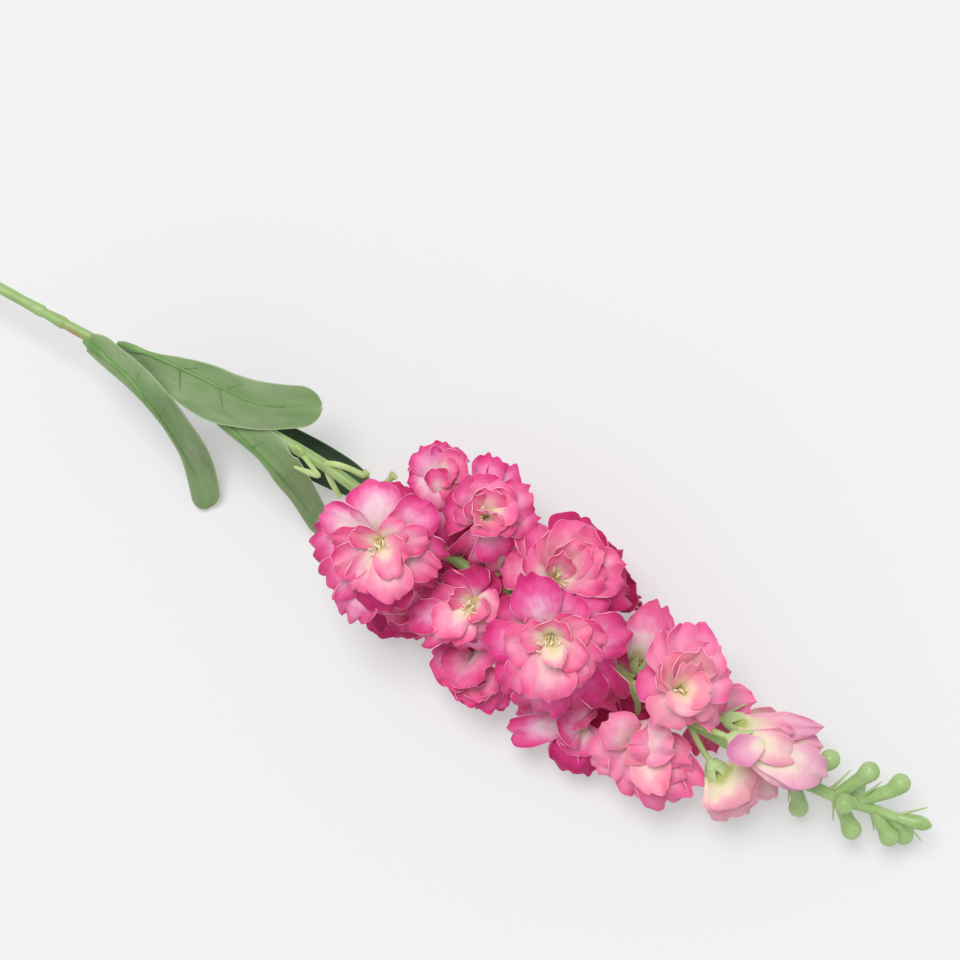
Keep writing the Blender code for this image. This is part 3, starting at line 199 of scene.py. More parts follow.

# A petal of a flower that the photograph shows: the pixel of its tip, the tip's height, its width, how far
# its middle bulges towards the flower's open side as a share of its length, how far it belongs to the heart
# (0 outer, 1 inner), and how far its open side is turned up from the flower's facing (0 to 1). A petal that
# is folded back over its flower also has the pixel and height of its root. dye is how much deeper than usual
# the petal is dyed, as a share of the whole range of its colours. It is partly the cloth's own uneven dye
# and
# partly painted shade and light: petals that lie low in their flower are dyed deeper as painted shade, and
# the highest ones lighter as painted light
Petal = namedtuple("Petal", "tip height width arch inner up root dye", defaults=(0.3, None, 0.0))
PETALS = {
    "bloom_01": (
        Petal((371, 477), 57, 19, 0.25, 0.05, dye=-0.12), Petal((321, 509), 55, 14, 0.2, 0.1, dye=-0.06),
        Petal((435, 503), 59, 17, 0.3, 0.1, dye=0.08), Petal((310, 541), 44, 17, 0.35, 0.1, dye=0.14),
        Petal((349, 619), 42, 16, 0.35, 0.1, dye=-0.1), Petal((388, 611), 50, 20, 0.4, 0.0, dye=0.24),
        Petal((447, 560), 50, 17, 0.35, 0.25, dye=0.12), Petal((325, 590), 47, 17, 0.35, 0.35, dye=0.1),
        Petal((424, 592), 43, 16, 0.3, 0.4, dye=0.2), Petal((405, 484), 49, 15, 0.2, 0.1, dye=0.22),
        Petal((333, 570), 60, 14, 0.2, 0.7), Petal((331, 538), 60, 11, 0.3, 0.6),
        Petal((398, 603), 60, 16, 0.3, 0.8, dye=-0.06), Petal((410, 557), 64, 12, 0.3, 0.9),
        Petal((396, 578), 66, 11, 0.2, 1.0), Petal((430, 537), 62, 12, 0.25, 0.6),
        Petal((404, 522), 63, 11, 0.2, 0.7), Petal((440, 574), 56, 12, 0.2, 0.6),
        Petal((356, 592), 60, 13, 0.2, 0.8), Petal((350, 532), 65, 9, 0.1, 0.9),
    ),
    "bloom_02": (
        Petal((419, 447), 42, 13, 0.27, 0.1, 0.9), Petal((452, 443), 41, 13, 0.27, 0.0, 0.9),
        Petal((465, 459), 46, 13, 0.2, 0.6, 0.8), Petal((457, 474), 49, 11, 0.2, 0.8, 0.8),
        Petal((459, 494), 44, 12, 0.34, 0.4, 0.8), Petal((421, 480), 38, 10, 0.24, 0.0, 0.9),
        Petal((408, 485), 42, 12, 0.2, 0.0, 0.9), Petal((456, 540), 40, 16, 0.05, 0.0, 0.9),
        Petal((432, 512), 42, 17, 0.4, 0.4, 0.9), Petal((436, 440), 24, 13, -0.2, 0.2, 0.3),
        Petal((457, 451), 26, 13, -0.2, 0.2, 0.3), Petal((415, 462), 26, 12, -0.2, 0.2, 0.3),
        Petal((434, 468), 49, 9, 0.15, 0.5, 0.9, (440, 491, 45), 0.15),
    ),
    "bloom_03": (
        Petal((370, 630), 14, 17, 0.3, 0.0, 0.8, dye=0.2), Petal((394, 638), 16, 18, 0.3, 0.0, 0.8, dye=0.3),
        Petal((384, 619), 26, 16, 0.3, 0.5, 0.8), Petal((414, 632), 22, 16, 0.3, 0.1, 0.8),
        Petal((430, 628), 20, 15, 0.3, 0.1, 0.8), Petal((405, 614), 28, 14, 0.2, 0.6, 0.8),
        Petal((383, 634), 4, 16, -0.1, 0.2, 0.4), Petal((410, 640), 5, 16, -0.1, 0.2, 0.4),
    ),
    "bloom_04": (
        Petal((487, 455), 42, 12, 0.2, 0.0), Petal((509, 464), 40, 13, 0.2, 0.0),
        Petal((472, 474), 54, 18, 0.3, 0.3), Petal((499, 477), 54, 17, 0.3, 0.4),
        Petal((442, 512), 46, 16, 0.3, 0.2, dye=0.2), Petal((498, 560), 46, 15, 0.4, 0.0, dye=0.1),
        Petal((529, 492), 48, 16, 0.3, 0.4), Petal((536, 521), 46, 15, 0.3, 0.2),
        Petal((467, 556), 34, 16, 0.3, 0.3, dye=0.3), Petal((504, 571), 34, 13, 0.3, 0.4),
        Petal((474, 496), 58, 14, 0.1, 0.7), Petal((494, 489), 58, 13, 0.1, 0.8),
        Petal((515, 500), 57, 14, 0.15, 0.8), Petal((520, 521), 54, 13, 0.2, 0.7),
        Petal((498, 535), 58, 16, 0.3, 0.8), Petal((476, 521), 61, 12, 0.1, 0.9),
        Petal((493, 511), 62, 10, 0.0, 1.0), Petal((458, 500), 53, 15, 0.25, 0.4),
        Petal((486, 566), 32, 15, 0.3, 0.1),
    ),
    "bloom_05": (
        Petal((463, 568), 44, 19, 0.3, 0.0, dye=0.3), Petal((486, 574), 42, 16, 0.3, 0.0, dye=0.32),
        Petal((505, 588), 40, 16, 0.3, 0.0, dye=0.3), Petal((409, 621), 38, 13, 0.3, 0.05),
        Petal((418, 641), 34, 12, 0.3, 0.3), Petal((450, 596), 53, 9, 0.0, 0.95),
        Petal((434, 632), 50, 14, 0.25, 0.8), Petal((447, 642), 46, 15, 0.3, 0.5),
        Petal((500, 607), 50, 12, 0.2, 0.7), Petal((484, 618), 52, 11, 0.1, 0.8),
        Petal((438, 581), 42, 15, 0.3, 0.15, dye=0.25), Petal((478, 636), 44, 15, 0.25, 0.6),
        Petal((433, 606), 42, 16, 0.3, 0.3), Petal((490, 640), 38, 15, 0.3, 0.2),
        Petal((440, 588), 33, 16, 0.3, 0.0, dye=0.3), Petal((421, 600), 30, 15, 0.3, 0.0, dye=0.3),
        Petal((478, 654), 33, 16, 0.3, 0.0),
    ),
    "bloom_06": (
        Petal((541, 522), 50, 18, 0.3, 0.3), Petal((552, 529), 57, 12, 0.1, 0.9),
        Petal((589, 524), 60, 21, 0.1, 0.6), Petal((587, 515), 46, 22, 0.2, 0.0, dye=0.25),
        Petal((619, 549), 46, 18, 0.25, 0.0, dye=0.2), Petal((626, 572), 54, 18, 0.3, 0.6),
        Petal((634, 593), 42, 18, 0.35, 0.0, dye=0.28), Petal((503, 569), 44, 16, 0.3, 0.4),
        Petal((522, 523), 44, 14, 0.3, 0.2), Petal((601, 551), 62, 15, 0.1, 0.85),
        Petal((608, 578), 60, 14, 0.2, 0.8), Petal((584, 545), 64, 14, 0.0, 0.9),
        Petal((566, 555), 62, 11, 0.0, 1.0), Petal((528, 550), 54, 15, 0.3, 0.5),
        Petal((520, 590), 42, 14, 0.3, 0.5), Petal((604, 598), 44, 15, 0.3, 0.2, dye=0.25),
    ),
    "bloom_07": (
        Petal((527, 573), 62, 18, 0.45, 0.0), Petal((566, 589), 62, 21, 0.3, 0.05, dye=0.06),
        Petal((610, 601), 55, 18, 0.3, 0.1, dye=0.08), Petal((632, 632), 56, 17, 0.3, 0.2, dye=0.12),
        Petal((617, 667), 44, 20, 0.35, 0.0, dye=0.25), Petal((590, 704), 42, 21, 0.35, 0.0, dye=0.2),
        Petal((537, 713), 44, 20, 0.35, 0.05), Petal((504, 688), 48, 18, 0.3, 0.15, dye=0.15),
        Petal((480, 643), 52, 16, 0.3, 0.0, dye=0.15), Petal((493, 612), 50, 17, 0.3, 0.1, dye=0.14),
        Petal((546, 703), 60, 20, 0.25, 0.8, dye=-0.04), Petal((516, 691), 56, 17, 0.3, 0.5, dye=-0.05),
        Petal((501, 648), 61, 15, 0.25, 0.6), Petal((551, 610), 63, 18, 0.2, 0.7),
        Petal((556, 621), 67, 14, 0.1, 0.85), Petal((607, 642), 61, 16, 0.25, 0.6),
        Petal((598, 671), 61, 16, 0.25, 0.7), Petal((585, 664), 66, 12, 0.1, 0.9),
        Petal((580, 689), 60, 15, 0.2, 0.6), Petal((521, 634), 66, 12, 0.1, 0.85),
        Petal((558, 669), 69, 9, 0.2, 1.0, dye=-0.25), Petal((590, 628), 66, 12, 0.1, 0.8),
        Petal((618, 698), 34, 17, 0.3, 0.0, dye=0.3),
    ),
    "bloom_08": (
        Petal((437, 671), 28, 17, 0.35, 0.3, 0.9), Petal((429, 659), 22, 17, 0.3, 0.1, 0.9),
        Petal((483, 680), 38, 20, 0.35, 0.3, 0.9, dye=-0.08), Petal((463, 704), 24, 17, 0.3, 0.05, 0.9),
        Petal((480, 711), 22, 18, 0.3, 0.05, 0.9), Petal((500, 709), 20, 16, 0.3, 0.05, 0.9),
        Petal((486, 701), 30, 13, 0.2, 0.7, 0.8), Petal((496, 692), 32, 12, 0.2, 0.5, 0.8),
        Petal((474, 689), 30, 12, 0.1, 0.6, 0.8), Petal((470, 706), 4, 16, -0.1, 0.2, 0.4),
        Petal((496, 712), 5, 16, -0.1, 0.2, 0.4), Petal((447, 682), 6, 16, -0.1, 0.4, 0.4),
    ),
    "bloom_09": (
        Petal((505, 733), 16, 13, 0.3, 0.1, 0.9), Petal((513, 714), 14, 14, 0.2, 0.05, 0.9),
        Petal((559, 716), 32, 17, 0.4, 0.0, 0.9), Petal((557, 735), 28, 14, 0.4, 0.6, 0.9),
        Petal((580, 730), 30, 15, 0.4, 0.3, 0.9), Petal((566, 772), 14, 18, 0.3, 0.0, 0.9, dye=0.3),
        Petal((590, 772), 12, 17, 0.3, 0.0, 0.9, dye=0.35), Petal((574, 757), 22, 14, 0.1, 0.3, 0.8),
        Petal((603, 765), 16, 15, 0.3, 0.1, 0.9, dye=0.3), Petal((566, 766), 4, 16, -0.1, 0.2, 0.4),
        Petal((592, 768), 4, 16, -0.1, 0.4, 0.4), Petal((552, 744), 8, 14, -0.1, 0.2, 0.4),
    ),
    "bloom_10": (
        Petal((656, 598), 38, 16, 0.5, 0.35, 0.95), Petal((667, 608), 34, 14, 0.4, 0.1, 0.9),
        Petal((643, 608), 32, 13, 0.4, 0.1, 0.9), Petal((655, 603), 22, 15, -0.3, 0.2, 0.7),
    ),
    "bloom_11": (
        Petal((603, 718), 36, 16, 0.4, 0.35, 0.6), Petal((628, 747), 40, 15, 0.5, 0.37, 0.7),
        Petal((590, 752), 26, 15, 0.3, 0.4, 0.7), Petal((594, 769), 20, 15, 0.3, 0.4, 0.7),
        Petal((619, 781), 24, 14, 0.3, 0.3, 0.7), Petal((637, 798), 20, 16, 0.3, 0.35, 0.8),
        Petal((662, 794), 32, 15, 0.35, 0.9, 0.8), Petal((672, 810), 22, 18, 0.3, 0.2, 0.8),
        Petal((697, 788), 24, 18, 0.3, 0.3, 0.8), Petal((690, 775), 30, 14, 0.2, 0.5, 0.8),
        Petal((692, 756), 32, 14, 0.35, 0.5, 0.8), Petal((650, 763), 34, 15, 0.2, 0.9, 0.7),
        Petal((677, 745), 40, 18, 0.35, 0.37, 0.8, dye=-0.18),
        Petal((640, 790), 6, 16, -0.1, 0.2, 0.4, dye=0.2), Petal((675, 785), 6, 16, -0.1, 0.2, 0.4, dye=0.2),
    ),
    "bloom_12": (
        Petal((656, 723), 50, 16, 0.35, 0.7, 0.6), Petal((672, 728), 48, 15, 0.35, 0.5, 0.6),
        Petal((685, 716), 60, 15, 0.3, 0.8, 0.5, dye=-0.12),
        Petal((637, 678), 46, 15, 0.3, 0.0, 0.5, dye=0.2),
        Petal((645, 692), 42, 13, 0.3, 0.05, 0.5, dye=0.15), Petal((661, 632), 50, 18, 0.3, 0.3),
        Petal((693, 621), 50, 19, 0.2, 0.15), Petal((716, 643), 50, 16, 0.2, 0.3),
        Petal((733, 677), 46, 16, 0.25, 0.3), Petal((720, 703), 46, 17, 0.3, 0.6),
        Petal((721, 721), 36, 15, 0.3, 0.1), Petal((703, 651), 60, 16, 0.0, 0.85, dye=-0.05),
        Petal((668, 655), 58, 14, 0.1, 0.8), Petal((712, 690), 60, 14, 0.1, 0.85),
        Petal((691, 664), 63, 12, 0.0, 0.95), Petal((658, 668), 56, 12, 0.1, 0.7),
    ),
    "bloom_13": (
        Petal((753, 699), 24, 14, 0.3, 0.3, 0.9), Petal((747, 709), 20, 13, 0.3, 0.2, 0.9),
        Petal((735, 693), 20, 12, 0.3, 0.3, 0.9), Petal((742, 700), 10, 14, -0.2, 0.2, 0.6),
        Petal((736, 712), 12, 12, 0.2, 0.2, 0.6), Petal((715, 746), 9, 16, 0.1, 0.2, 0.8, dye=0.3),
        Petal((694, 751), 8, 16, 0.1, 0.2, 0.8, dye=0.35),
    ),
    "half_open_1": (
        Petal((733, 817), 16, 17, 0.35, 0.6, 0.9), Petal((749, 812), 20, 17, 0.35, 0.5, 0.9),
        Petal((757, 797), 26, 17, 0.3, 0.6, 0.9), Petal((746, 801), 33, 23, 0.42, 0.95, 0.9),
        Petal((726, 812), 24, 14, 0.35, 0.8, 0.9), Petal((738, 812), 7, 18, -0.3, 0.5, 0.6),
    ),
    "half_open_2": (
        Petal((796, 731), 42, 9, 0.2, 0.5, 0.9), Petal((788, 736), 39, 9, 0.2, 0.6, 0.9),
        Petal((823, 728), 34, 10, 0.22, 0.1, 0.9), Petal((826, 748), 28, 12, 0.25, 0.2, 0.9),
        Petal((812, 734), 30, 12, 0.2, 0.4, 0.9), Petal((795, 728), 17, 13, -0.3, 0.4, 0.5),
    ),
    "half_open_3": (
        Petal((800, 757), 44, 12, 0.3, 0.8, 0.9), Petal((782, 773), 38, 10, 0.3, 0.5, 0.9),
        Petal((828, 777), 36, 16, 0.28, 0.1, 0.9), Petal((806, 784), 33, 12, 0.3, 0.1, 0.9),
        Petal((792, 744), 38, 11, 0.3, 0.7, 0.9),
        Petal((726, 755), 53, 11.5, 0.16, 0.1, 1.0, (763, 743, 52), 0.25),
        Petal((790, 764), 27, 13, -0.3, 0.4, 0.6),
    ),
    "half_open_4": (
        Petal((774, 798), 12, 12, 0.3, 0.2, 0.9), Petal((761, 789), 14, 11, 0.3, 0.3, 0.9),
        Petal((777, 785), 9, 11, -0.1, 0.3, 0.8),
    ),
}

# Deep petals of the flowers underneath, which close the gaps between those on top: the pixel of the tip, its
# height and the petal's width
DEEP_TIPS = {
    "bloom_14": ((637, 583, 30, 19),),
    "bloom_16": ((466, 566, 12, 18), (440, 592, 12, 18), (470, 545, 14, 16), (436, 614, 12, 18)),
    "bloom_17": ((490, 656, 13, 19), (454, 560, 15, 19), (512, 660, 12, 18), (467, 655, 12, 18)),
    "bloom_18": ((600, 706, 12, 18), (626, 716, 14, 19), (646, 700, 12, 18), (588, 729, 12, 19),
                 (649, 719, 11, 15), (640, 660, 14, 17)),
}
# These petals get a deeper colour of 0.4: painted shade for the shade in the gaps between the flowers on top
DEEP_PETALS = {
    name: tuple(Petal((x, y), height, width, 0.1, 0.0, 1.0, dye=0.4) for x, y, height, width in tips)
    for name, tips in DEEP_TIPS.items()
}

# A leaf: its middle line as pixels of the photograph, each with a height over the table, and the half blade
# on each side. A half: its width at each of those points, seen from above, and its fold in degrees at three
# shares of the leaf's length. A profile is a list of shares of a tube's length with its radii there
Leaf = namedtuple("Leaf", "name rib left right")
Half = namedtuple("Half", "widths folds")
FOLD_SHARES = (0, 0.45, 0.85)
LEAF_END_ROUNDING = 0.56
LEAF_WAVE_HEIGHT = 0.45
RIB_SHARE = 0.86
RIB_PROFILE = ((0, 1.1), (0.05, 1.6), (0.15, 1.5), (0.24, 0.9), (0.5, 0.65), (1, 0.3))
SIDE_VEIN_RADII = (0.45, 0.18)
SIDE_VEIN_LIFT = 0.3
DARK_LEAF = "leaf_4"
LEAVES = (
    Leaf("leaf_1",
         ((85, 341, 31.3), (98, 351, 35.5), (113, 364, 38.5), (130, 379, 40.3), (147, 401, 39.5),
          (165, 425, 31.5), (184, 455, 19.5), (197, 480, 10), (206, 509, 2)),
         Half((3.2, 6.0, 6.2, 6.6, 7.8, 8.2, 8.8, 7.6, 6.0), (12, 14, 4)),
         Half((2.6, 3.0, 3.0, 2.9, 1.7, 1.3, 1.4, 3.4, 4.4), (-30, -52, -8))),
    Leaf("leaf_2",
         ((119, 344, 31.4), (135, 349, 37), (152, 355, 39.5), (180, 368, 42), (208, 381, 43), (230, 392, 43),
          (260, 404, 42), (290, 407, 40), (322, 406, 38)),
         Half((0.6, 0.8, 0.9, 4.0, 6.1, 6.8, 8.1, 7.9, 7.2), (6, 12, 4)),
         Half((0.8, 3.0, 5.5, 10.5, 12.8, 12.4, 9.4, 7.8, 7.2), (-29, -14, -6))),
    Leaf("leaf_3",
         ((205, 411, 31), (218, 419, 35.3), (232, 429.5, 37), (248, 445, 36.6), (260, 456, 35.5),
          (273, 470, 33.5), (283, 481, 30), (298, 498, 23), (311, 516.5, 15), (322, 533, 9)),
         Half((0.8, 3.0, 6.0, 8.6, 10.2, 9.7, 9.0, 7.4, 6.2, 4.5), (14, 14, 6)),
         Half((0.8, 1.8, 2.2, 1.4, 1.3, 1.8, 2.5, 2.7, 3.0, 3.0), (-30, -50, -20))),
    Leaf("leaf_4",
         ((207, 392, 29), (222, 409, 24), (252, 425, 17), (290, 447, 11), (320, 463, 8), (346, 477, 5),
          (369, 490, 3)),
         Half((0.8, 2.5, 5.5, 7.3, 7.3, 6.4, 4.2), (6, 6, 2)),
         Half((0.8, 3.5, 6.5, 7.4, 7.3, 6.6, 4.5), (6, 6, 2))),
)

# The leaves' side veins, from pixel to pixel
LEAF_VEINS = {
    "leaf_1": (((135.5, 379), (139, 371.5)), ((160, 414), (166, 405))),
    "leaf_2": (((180, 369), (180, 390)), ((219, 388), (223, 409)), ((181, 368), (198, 368)),
               ((225, 389), (241, 384))),
    "leaf_3": (((252, 447), (263, 441)), ((281, 479), (296, 470))),
    "leaf_4": (((262, 428), (282, 425)), ((290, 444), (312, 443)), ((318, 461), (338, 462))),
}

# Drumstick buds of the bud tip: root, bend and head centre
BUD_STALK_RADIUS = 2.4
BUD_HEAD_RADIUS = 3.8
BUD_TIP_ROUTE = ((606.3, -8, 26), (621, -6.5, 24), (635, -4.7, 22.5), (645, -2.5, 21.5), (655, -0.5, 21))
BUDS = (
    ((622, -6.5, 24), (620, 1, 27), (621.5, 5.5, 29)),
    ((631, -4.5, 23), (635, 5, 27.5), (636, 9, 30)),
    ((640, -2, 22), (647, 7, 25.5), (648.5, 11, 27)),
    ((633, -5, 23), (633, -5, 29), (633.5, -5.5, 33)),
    ((633, -6, 22), (640, -10.5, 18.5), (643.5, -13, 17)),
    ((646, -2.5, 21.5), (653.5, -6.5, 19), (656.5, -8, 18)),
    ((652, -1, 21), (659, -3.5, 15), (662, -5, 12)),
    ((615, -8, 25), (621, -13.5, 17.5), (623, -16, 14)),
    ((640, -4, 22), (638, -1, 15), (638, 1, 11)),
)
BUD_PROFILE = (
    (0, 0.85 * BUD_STALK_RADIUS), (0.35, 1.05 * BUD_STALK_RADIUS), (0.62, 1.15 * BUD_STALK_RADIUS),
    (0.72, 1.22 * BUD_STALK_RADIUS), (0.86, 0.92 * BUD_HEAD_RADIUS), (1, BUD_HEAD_RADIUS),
)
TIP_AXIS_RADII = (2.5, STEM_RADIUS_SPIKE)
BUD_DOME = np.radians((15, 30, 45, 60, 72, 82))
END_BUD = ((654, -0.6, 21), (661, 1.5, 21), (667.5, 3.2, 21))
END_BUD_PROFILE = ((0, 1.6), (0.3, 2.2), (0.6, 2.8), (0.8, 2.5), (0.93, 1.5), (1, 0.4))
TIP_NEEDLES = (
    ((628, -4, 24), (630.5, 6, 26)), ((639, -1.5, 23), (642, 8, 28)), ((631, -6.5, 22), (636, -13.5, 16)),
    ((645, -3, 21), (651, -9, 16)), ((654, 0, 21), (662, 8.5, 24)), ((658, 0, 20.5), (668, -3.5, 16)),
    ((613, -8, 24), (618, -16, 18)),
)
NEEDLE_RADII = (0.7, 0.22)
NEEDLE_BOW = np.array((0, 0, 0.8))

# A calyx cup: shares of its height with its radii there as shares of its widest, after a narrow foot
CALYX_FOOT = (0.12, 1.25)
CALYX_PROFILE = ((0.3, 0.68), (0.5, 0.85), (0.72, 0.96), (0.9, 1.0), (1.0, 0.97))
# The sepals round it: how far they lean out and how tall they are, as shares of the calyx's radius
Sepals = namedtuple("Sepals", "flare height")
SEPALS_OPEN = Sepals(0.42, 2.1)
SEPALS_HALF_OPEN = Sepals(0.8, 1.6)
SEPAL_COUNT = 5
SEPAL_THICKNESS = 0.35
STAMEN_PROFILE = ((0, 0.24), (0.8, 0.19), (0.88, 0.38), (1, 0.28))

# Small green pieces below the flowers: a forked bract, two nubs and side stalks. Each is a route of pixels
# with heights, and the radius at each of its points
STEM_SHOOTS = (
    (((304, 456, 36.5), (312, 467, 39.5), (319, 476, 41), (309, 472.5, 42), (294, 466.6, 43)),
     (1.1, 0.9, 0.8, 1.1, 0.5)),
    (((305, 457, 35.5), (301, 451, 38.5), (296, 446, 40)), (1.2, 0.9, 0.5)),
    (((320, 464, 36), (336, 464.5, 38.5), (350, 469, 38.5), (363, 475, 38), (367, 471.5, 38.5)),
     (1.3, 1.2, 1.15, 1.3, 1.5)),
    (((374, 490, 37.5), (384, 484, 41), (390, 479, 43), (394, 475, 44)), (1.1, 0.9, 1.1, 1.9)),
    (((326, 468, 35.5), (331, 481, 33), (340, 497, 31)), (1.2, 1.1, 0.9)),
)


def unit(vector):
    """A direction of length 1."""
    vector = np.asarray(vector, float)
    return vector / np.linalg.norm(vector)


def unit_rows(vectors):
    """Directions of length 1, one in each row."""
    return vectors / np.linalg.norm(vectors, axis=1)[:, None]


def distances_along(route):
    """The distance along a route at each of its points."""
    return np.concatenate(((0,), np.cumsum(np.linalg.norm(np.diff(route, axis=0), axis=1))))


def bezier(start, leave, arrive, end, shares):
    """Points at shares of a cubic curve that leaves and arrives along the lines to two handles."""
    t = np.asarray(shares, float)[:, None]
    return (1 - t) ** 3 * start + 3 * (1 - t) ** 2 * t * leave + 3 * (1 - t) * t ** 2 * arrive + t ** 3 * end


def profile_radii(profile, route):
    """A radius for each point of a route from a profile of shares and radii."""
    return np.interp(np.linspace(0, 1, len(route)), *zip(*profile))


def place_pixel(pixel, height):
    """The point of the construction frame that a pixel of the photograph shows at a height."""
    turn = math.radians(CAMERA_TURN)
    scale = (CAMERA_HEIGHT - height) / CAMERA_HEIGHT * MM_PER_PIXEL
    right = (pixel[0] - IMAGE_CENTRE) * scale
    up = (IMAGE_CENTRE - pixel[1]) * scale
    return np.array((CAMERA_OVER[0] + right * math.cos(turn) - up * math.sin(turn),
                     CAMERA_OVER[1] + right * math.sin(turn) + up * math.cos(turn), height))


def place_route(route):
    """Points for a route of pixels with heights."""
    return np.array([place_pixel(point[:2], point[2]) for point in route])


def smooth_route(points, steps):
    """Points along a Catmull-Rom curve through the given ones, with this many steps in each span."""
    points = np.asarray(points, float)
    padded = np.vstack((2 * points[0] - points[1], points, 2 * points[-1] - points[-2]))
    route = []
    for before, start, end, after in zip(padded, padded[1:], padded[2:], padded[3:]):
        for step in range(steps):
            t = step / steps
            route.append(0.5 * (2 * start + (end - before) * t
                                + (2 * before - 5 * start + 4 * end - after) * t ** 2
                                + (3 * start - before - 3 * end + after) * t ** 3))
    route.append(points[-1])
    return np.array(route)


def smooth_values(values, steps):
    """Numbers eased between the given ones, to go with a smoothed route."""
    return smooth_route(np.array(values, float)[:, None], steps)[:, 0]


def stem_point(x):
    """The middle of the main stem at this distance from the cut end."""
    route = np.asarray(STEM_ROUTE, float)
    return np.array((x, np.interp(x, route[:, 0], route[:, 1]), np.interp(x, route[:, 0], route[:, 2])))


def stem_radius(x):
    """The main stem's radius at this distance from the cut end."""
    return np.interp(x, *zip(*STEM_TAPER))


def bloom_base(bloom):
    """The foot of a bloom, where its calyx carries it."""
    return np.asarray(bloom.heart, float) - unit(bloom.facing) * bloom.radius * HEART_HEIGHT


def stalk_route(bloom):
    """The flower stalk's middle line from the main stem to the underside of the calyx."""
    facing = unit(bloom.facing)
    end = bloom_base(bloom) - facing * CALYX_HEIGHT
    start = stem_point(end[0] - bloom.lean)
    length = np.linalg.norm(end - start)
    out = end - stem_point(end[0])
    leave = start + 0.4 * length * unit(unit(out) + np.array((1.2, 0, 0)))
    arrive = end - facing * 0.3 * length
    return bezier(start, leave, arrive, end, (0, 0.4, 0.75, 1))


def nearest_on_segment(point, start, end):
    """The point of a straight piece that lies nearest to a point."""
    along = end - start
    share = np.clip(np.dot(point - start, along) / np.dot(along, along), 0, 1)
    return start + share * along


def bloom_girth(bloom):
    """Half the width that a bloom wants: its radius if it is open, less if its petals stand up."""
    return bloom.radius * (0.3 + 0.7 * bloom.openness)


def green_routes():
    """Every stem, stalk and bud that petals keep clear of: its owner, route and radius."""
    routes = [("stem", smooth_route(STEM_ROUTE[5:], 1), STEM_RADIUS_CUT_END)]
    routes += [(bloom.name, stalk_route(bloom), STALK_FOOT_RADIUS) for bloom in BLOOMS]
    routes += [("shoot", place_route(route), SHOOT_ROOM) for route, _ in STEM_SHOOTS]
    routes += [("bud_tip", BUD_TIP_ROUTE, TIP_AXIS_ROOM)]
    routes += [("bud", (root, head), BUD_HEAD_RADIUS) for root, _, head in BUDS]
    return [(owner, np.asarray(route, float), radius) for owner, route, radius in routes]


def bloom_cell(bloom):
    """The convex room that a bloom may fill, as unit normals and offsets: inside, normal . point < offset.

    Walls stand between neighbouring blooms, in front of each stretch of stem or stalk, and on the table.
    """
    heart = np.asarray(bloom.heart, float)
    facing = unit(bloom.facing)
    normals = [-facing, np.array((0, 0, -1.0))]
    offsets = [np.dot(-facing, bloom_base(bloom)) - GAP, 0.0]
    for other in BLOOMS:
        if other.name == bloom.name:
            continue
        across = np.asarray(other.heart, float) - heart
        distance = np.linalg.norm(across)
        reach = (distance ** 2 + bloom_girth(bloom) ** 2 - bloom_girth(other) ** 2) / (2 * distance)
        reach = min(max(reach, 0.3 * distance), 0.7 * distance)
        normals.append(across / distance)
        offsets.append(np.dot(across / distance, heart) + reach - GAP / 2)
    for owner, route, radius in green_routes():
        if owner == bloom.name:
            continue
        for start, end in zip(route, route[1:]):
            nearest = nearest_on_segment(heart, start, end)
            normal = unit(nearest - heart)
            normals.append(normal)
            offsets.append(np.dot(normal, nearest) - radius - GAP)
    return np.array(normals), np.array(offsets)


def settle(points, heart, cell, level, margin):
    """Bends a petal's points back into its bloom's room, where they slide along the walls, a margin off."""
    normals, offsets = cell
    offsets = offsets - margin
    offsets[0] += margin - PETAL_THICKNESS / 2
    offsets[1] += margin - PETAL_THICKNESS / 2 - LAYER_STEP * level
    soft = np.full(len(offsets), SOFT_WALL)
    soft[1] = SOFT_FLOOR
    for _ in range(4):
        for normal, offset, ease in zip(normals, offsets, soft):
            room = offset - points @ normal
            eased = (np.clip(room, -ease, ease) + ease) ** 2 / (4 * ease)
            kept = np.where(room > ease, room, eased)
            points = points - np.outer(kept - room, normal)
    away = points - heart
    reach = away @ normals.T
    room = offsets - normals @ heart
    share = np.where(reach > 1e-6, room / np.maximum(reach, 1e-6), 1.0)
    return heart + away * np.minimum(1.0, share.min(axis=1))[:, None]


def free_reach(start, direction, cell):
    """How far a straight line from here runs before it meets a neighbour's wall."""
    normals, offsets = cell[0][2:], cell[1][2:]
    closing = normals @ direction
    room = (offsets - normals @ start)[closing > 1e-6] / closing[closing > 1e-6]
    return room.min()


def flower_axes(facing):
    """Two directions across a flower: the first is the picture's right, as seen from above."""
    across = IMAGE_RIGHT - np.dot(IMAGE_RIGHT, facing) * facing
    if np.linalg.norm(across) < 0.3:
        across = np.array((0.0, 0.0, 1.0)) - facing[2] * facing
    across = unit(across)
    return across, np.cross(facing, across)


RingPetal = namedtuple("RingPetal", "level angle length width rise_root rise_tip cup root_height margin")


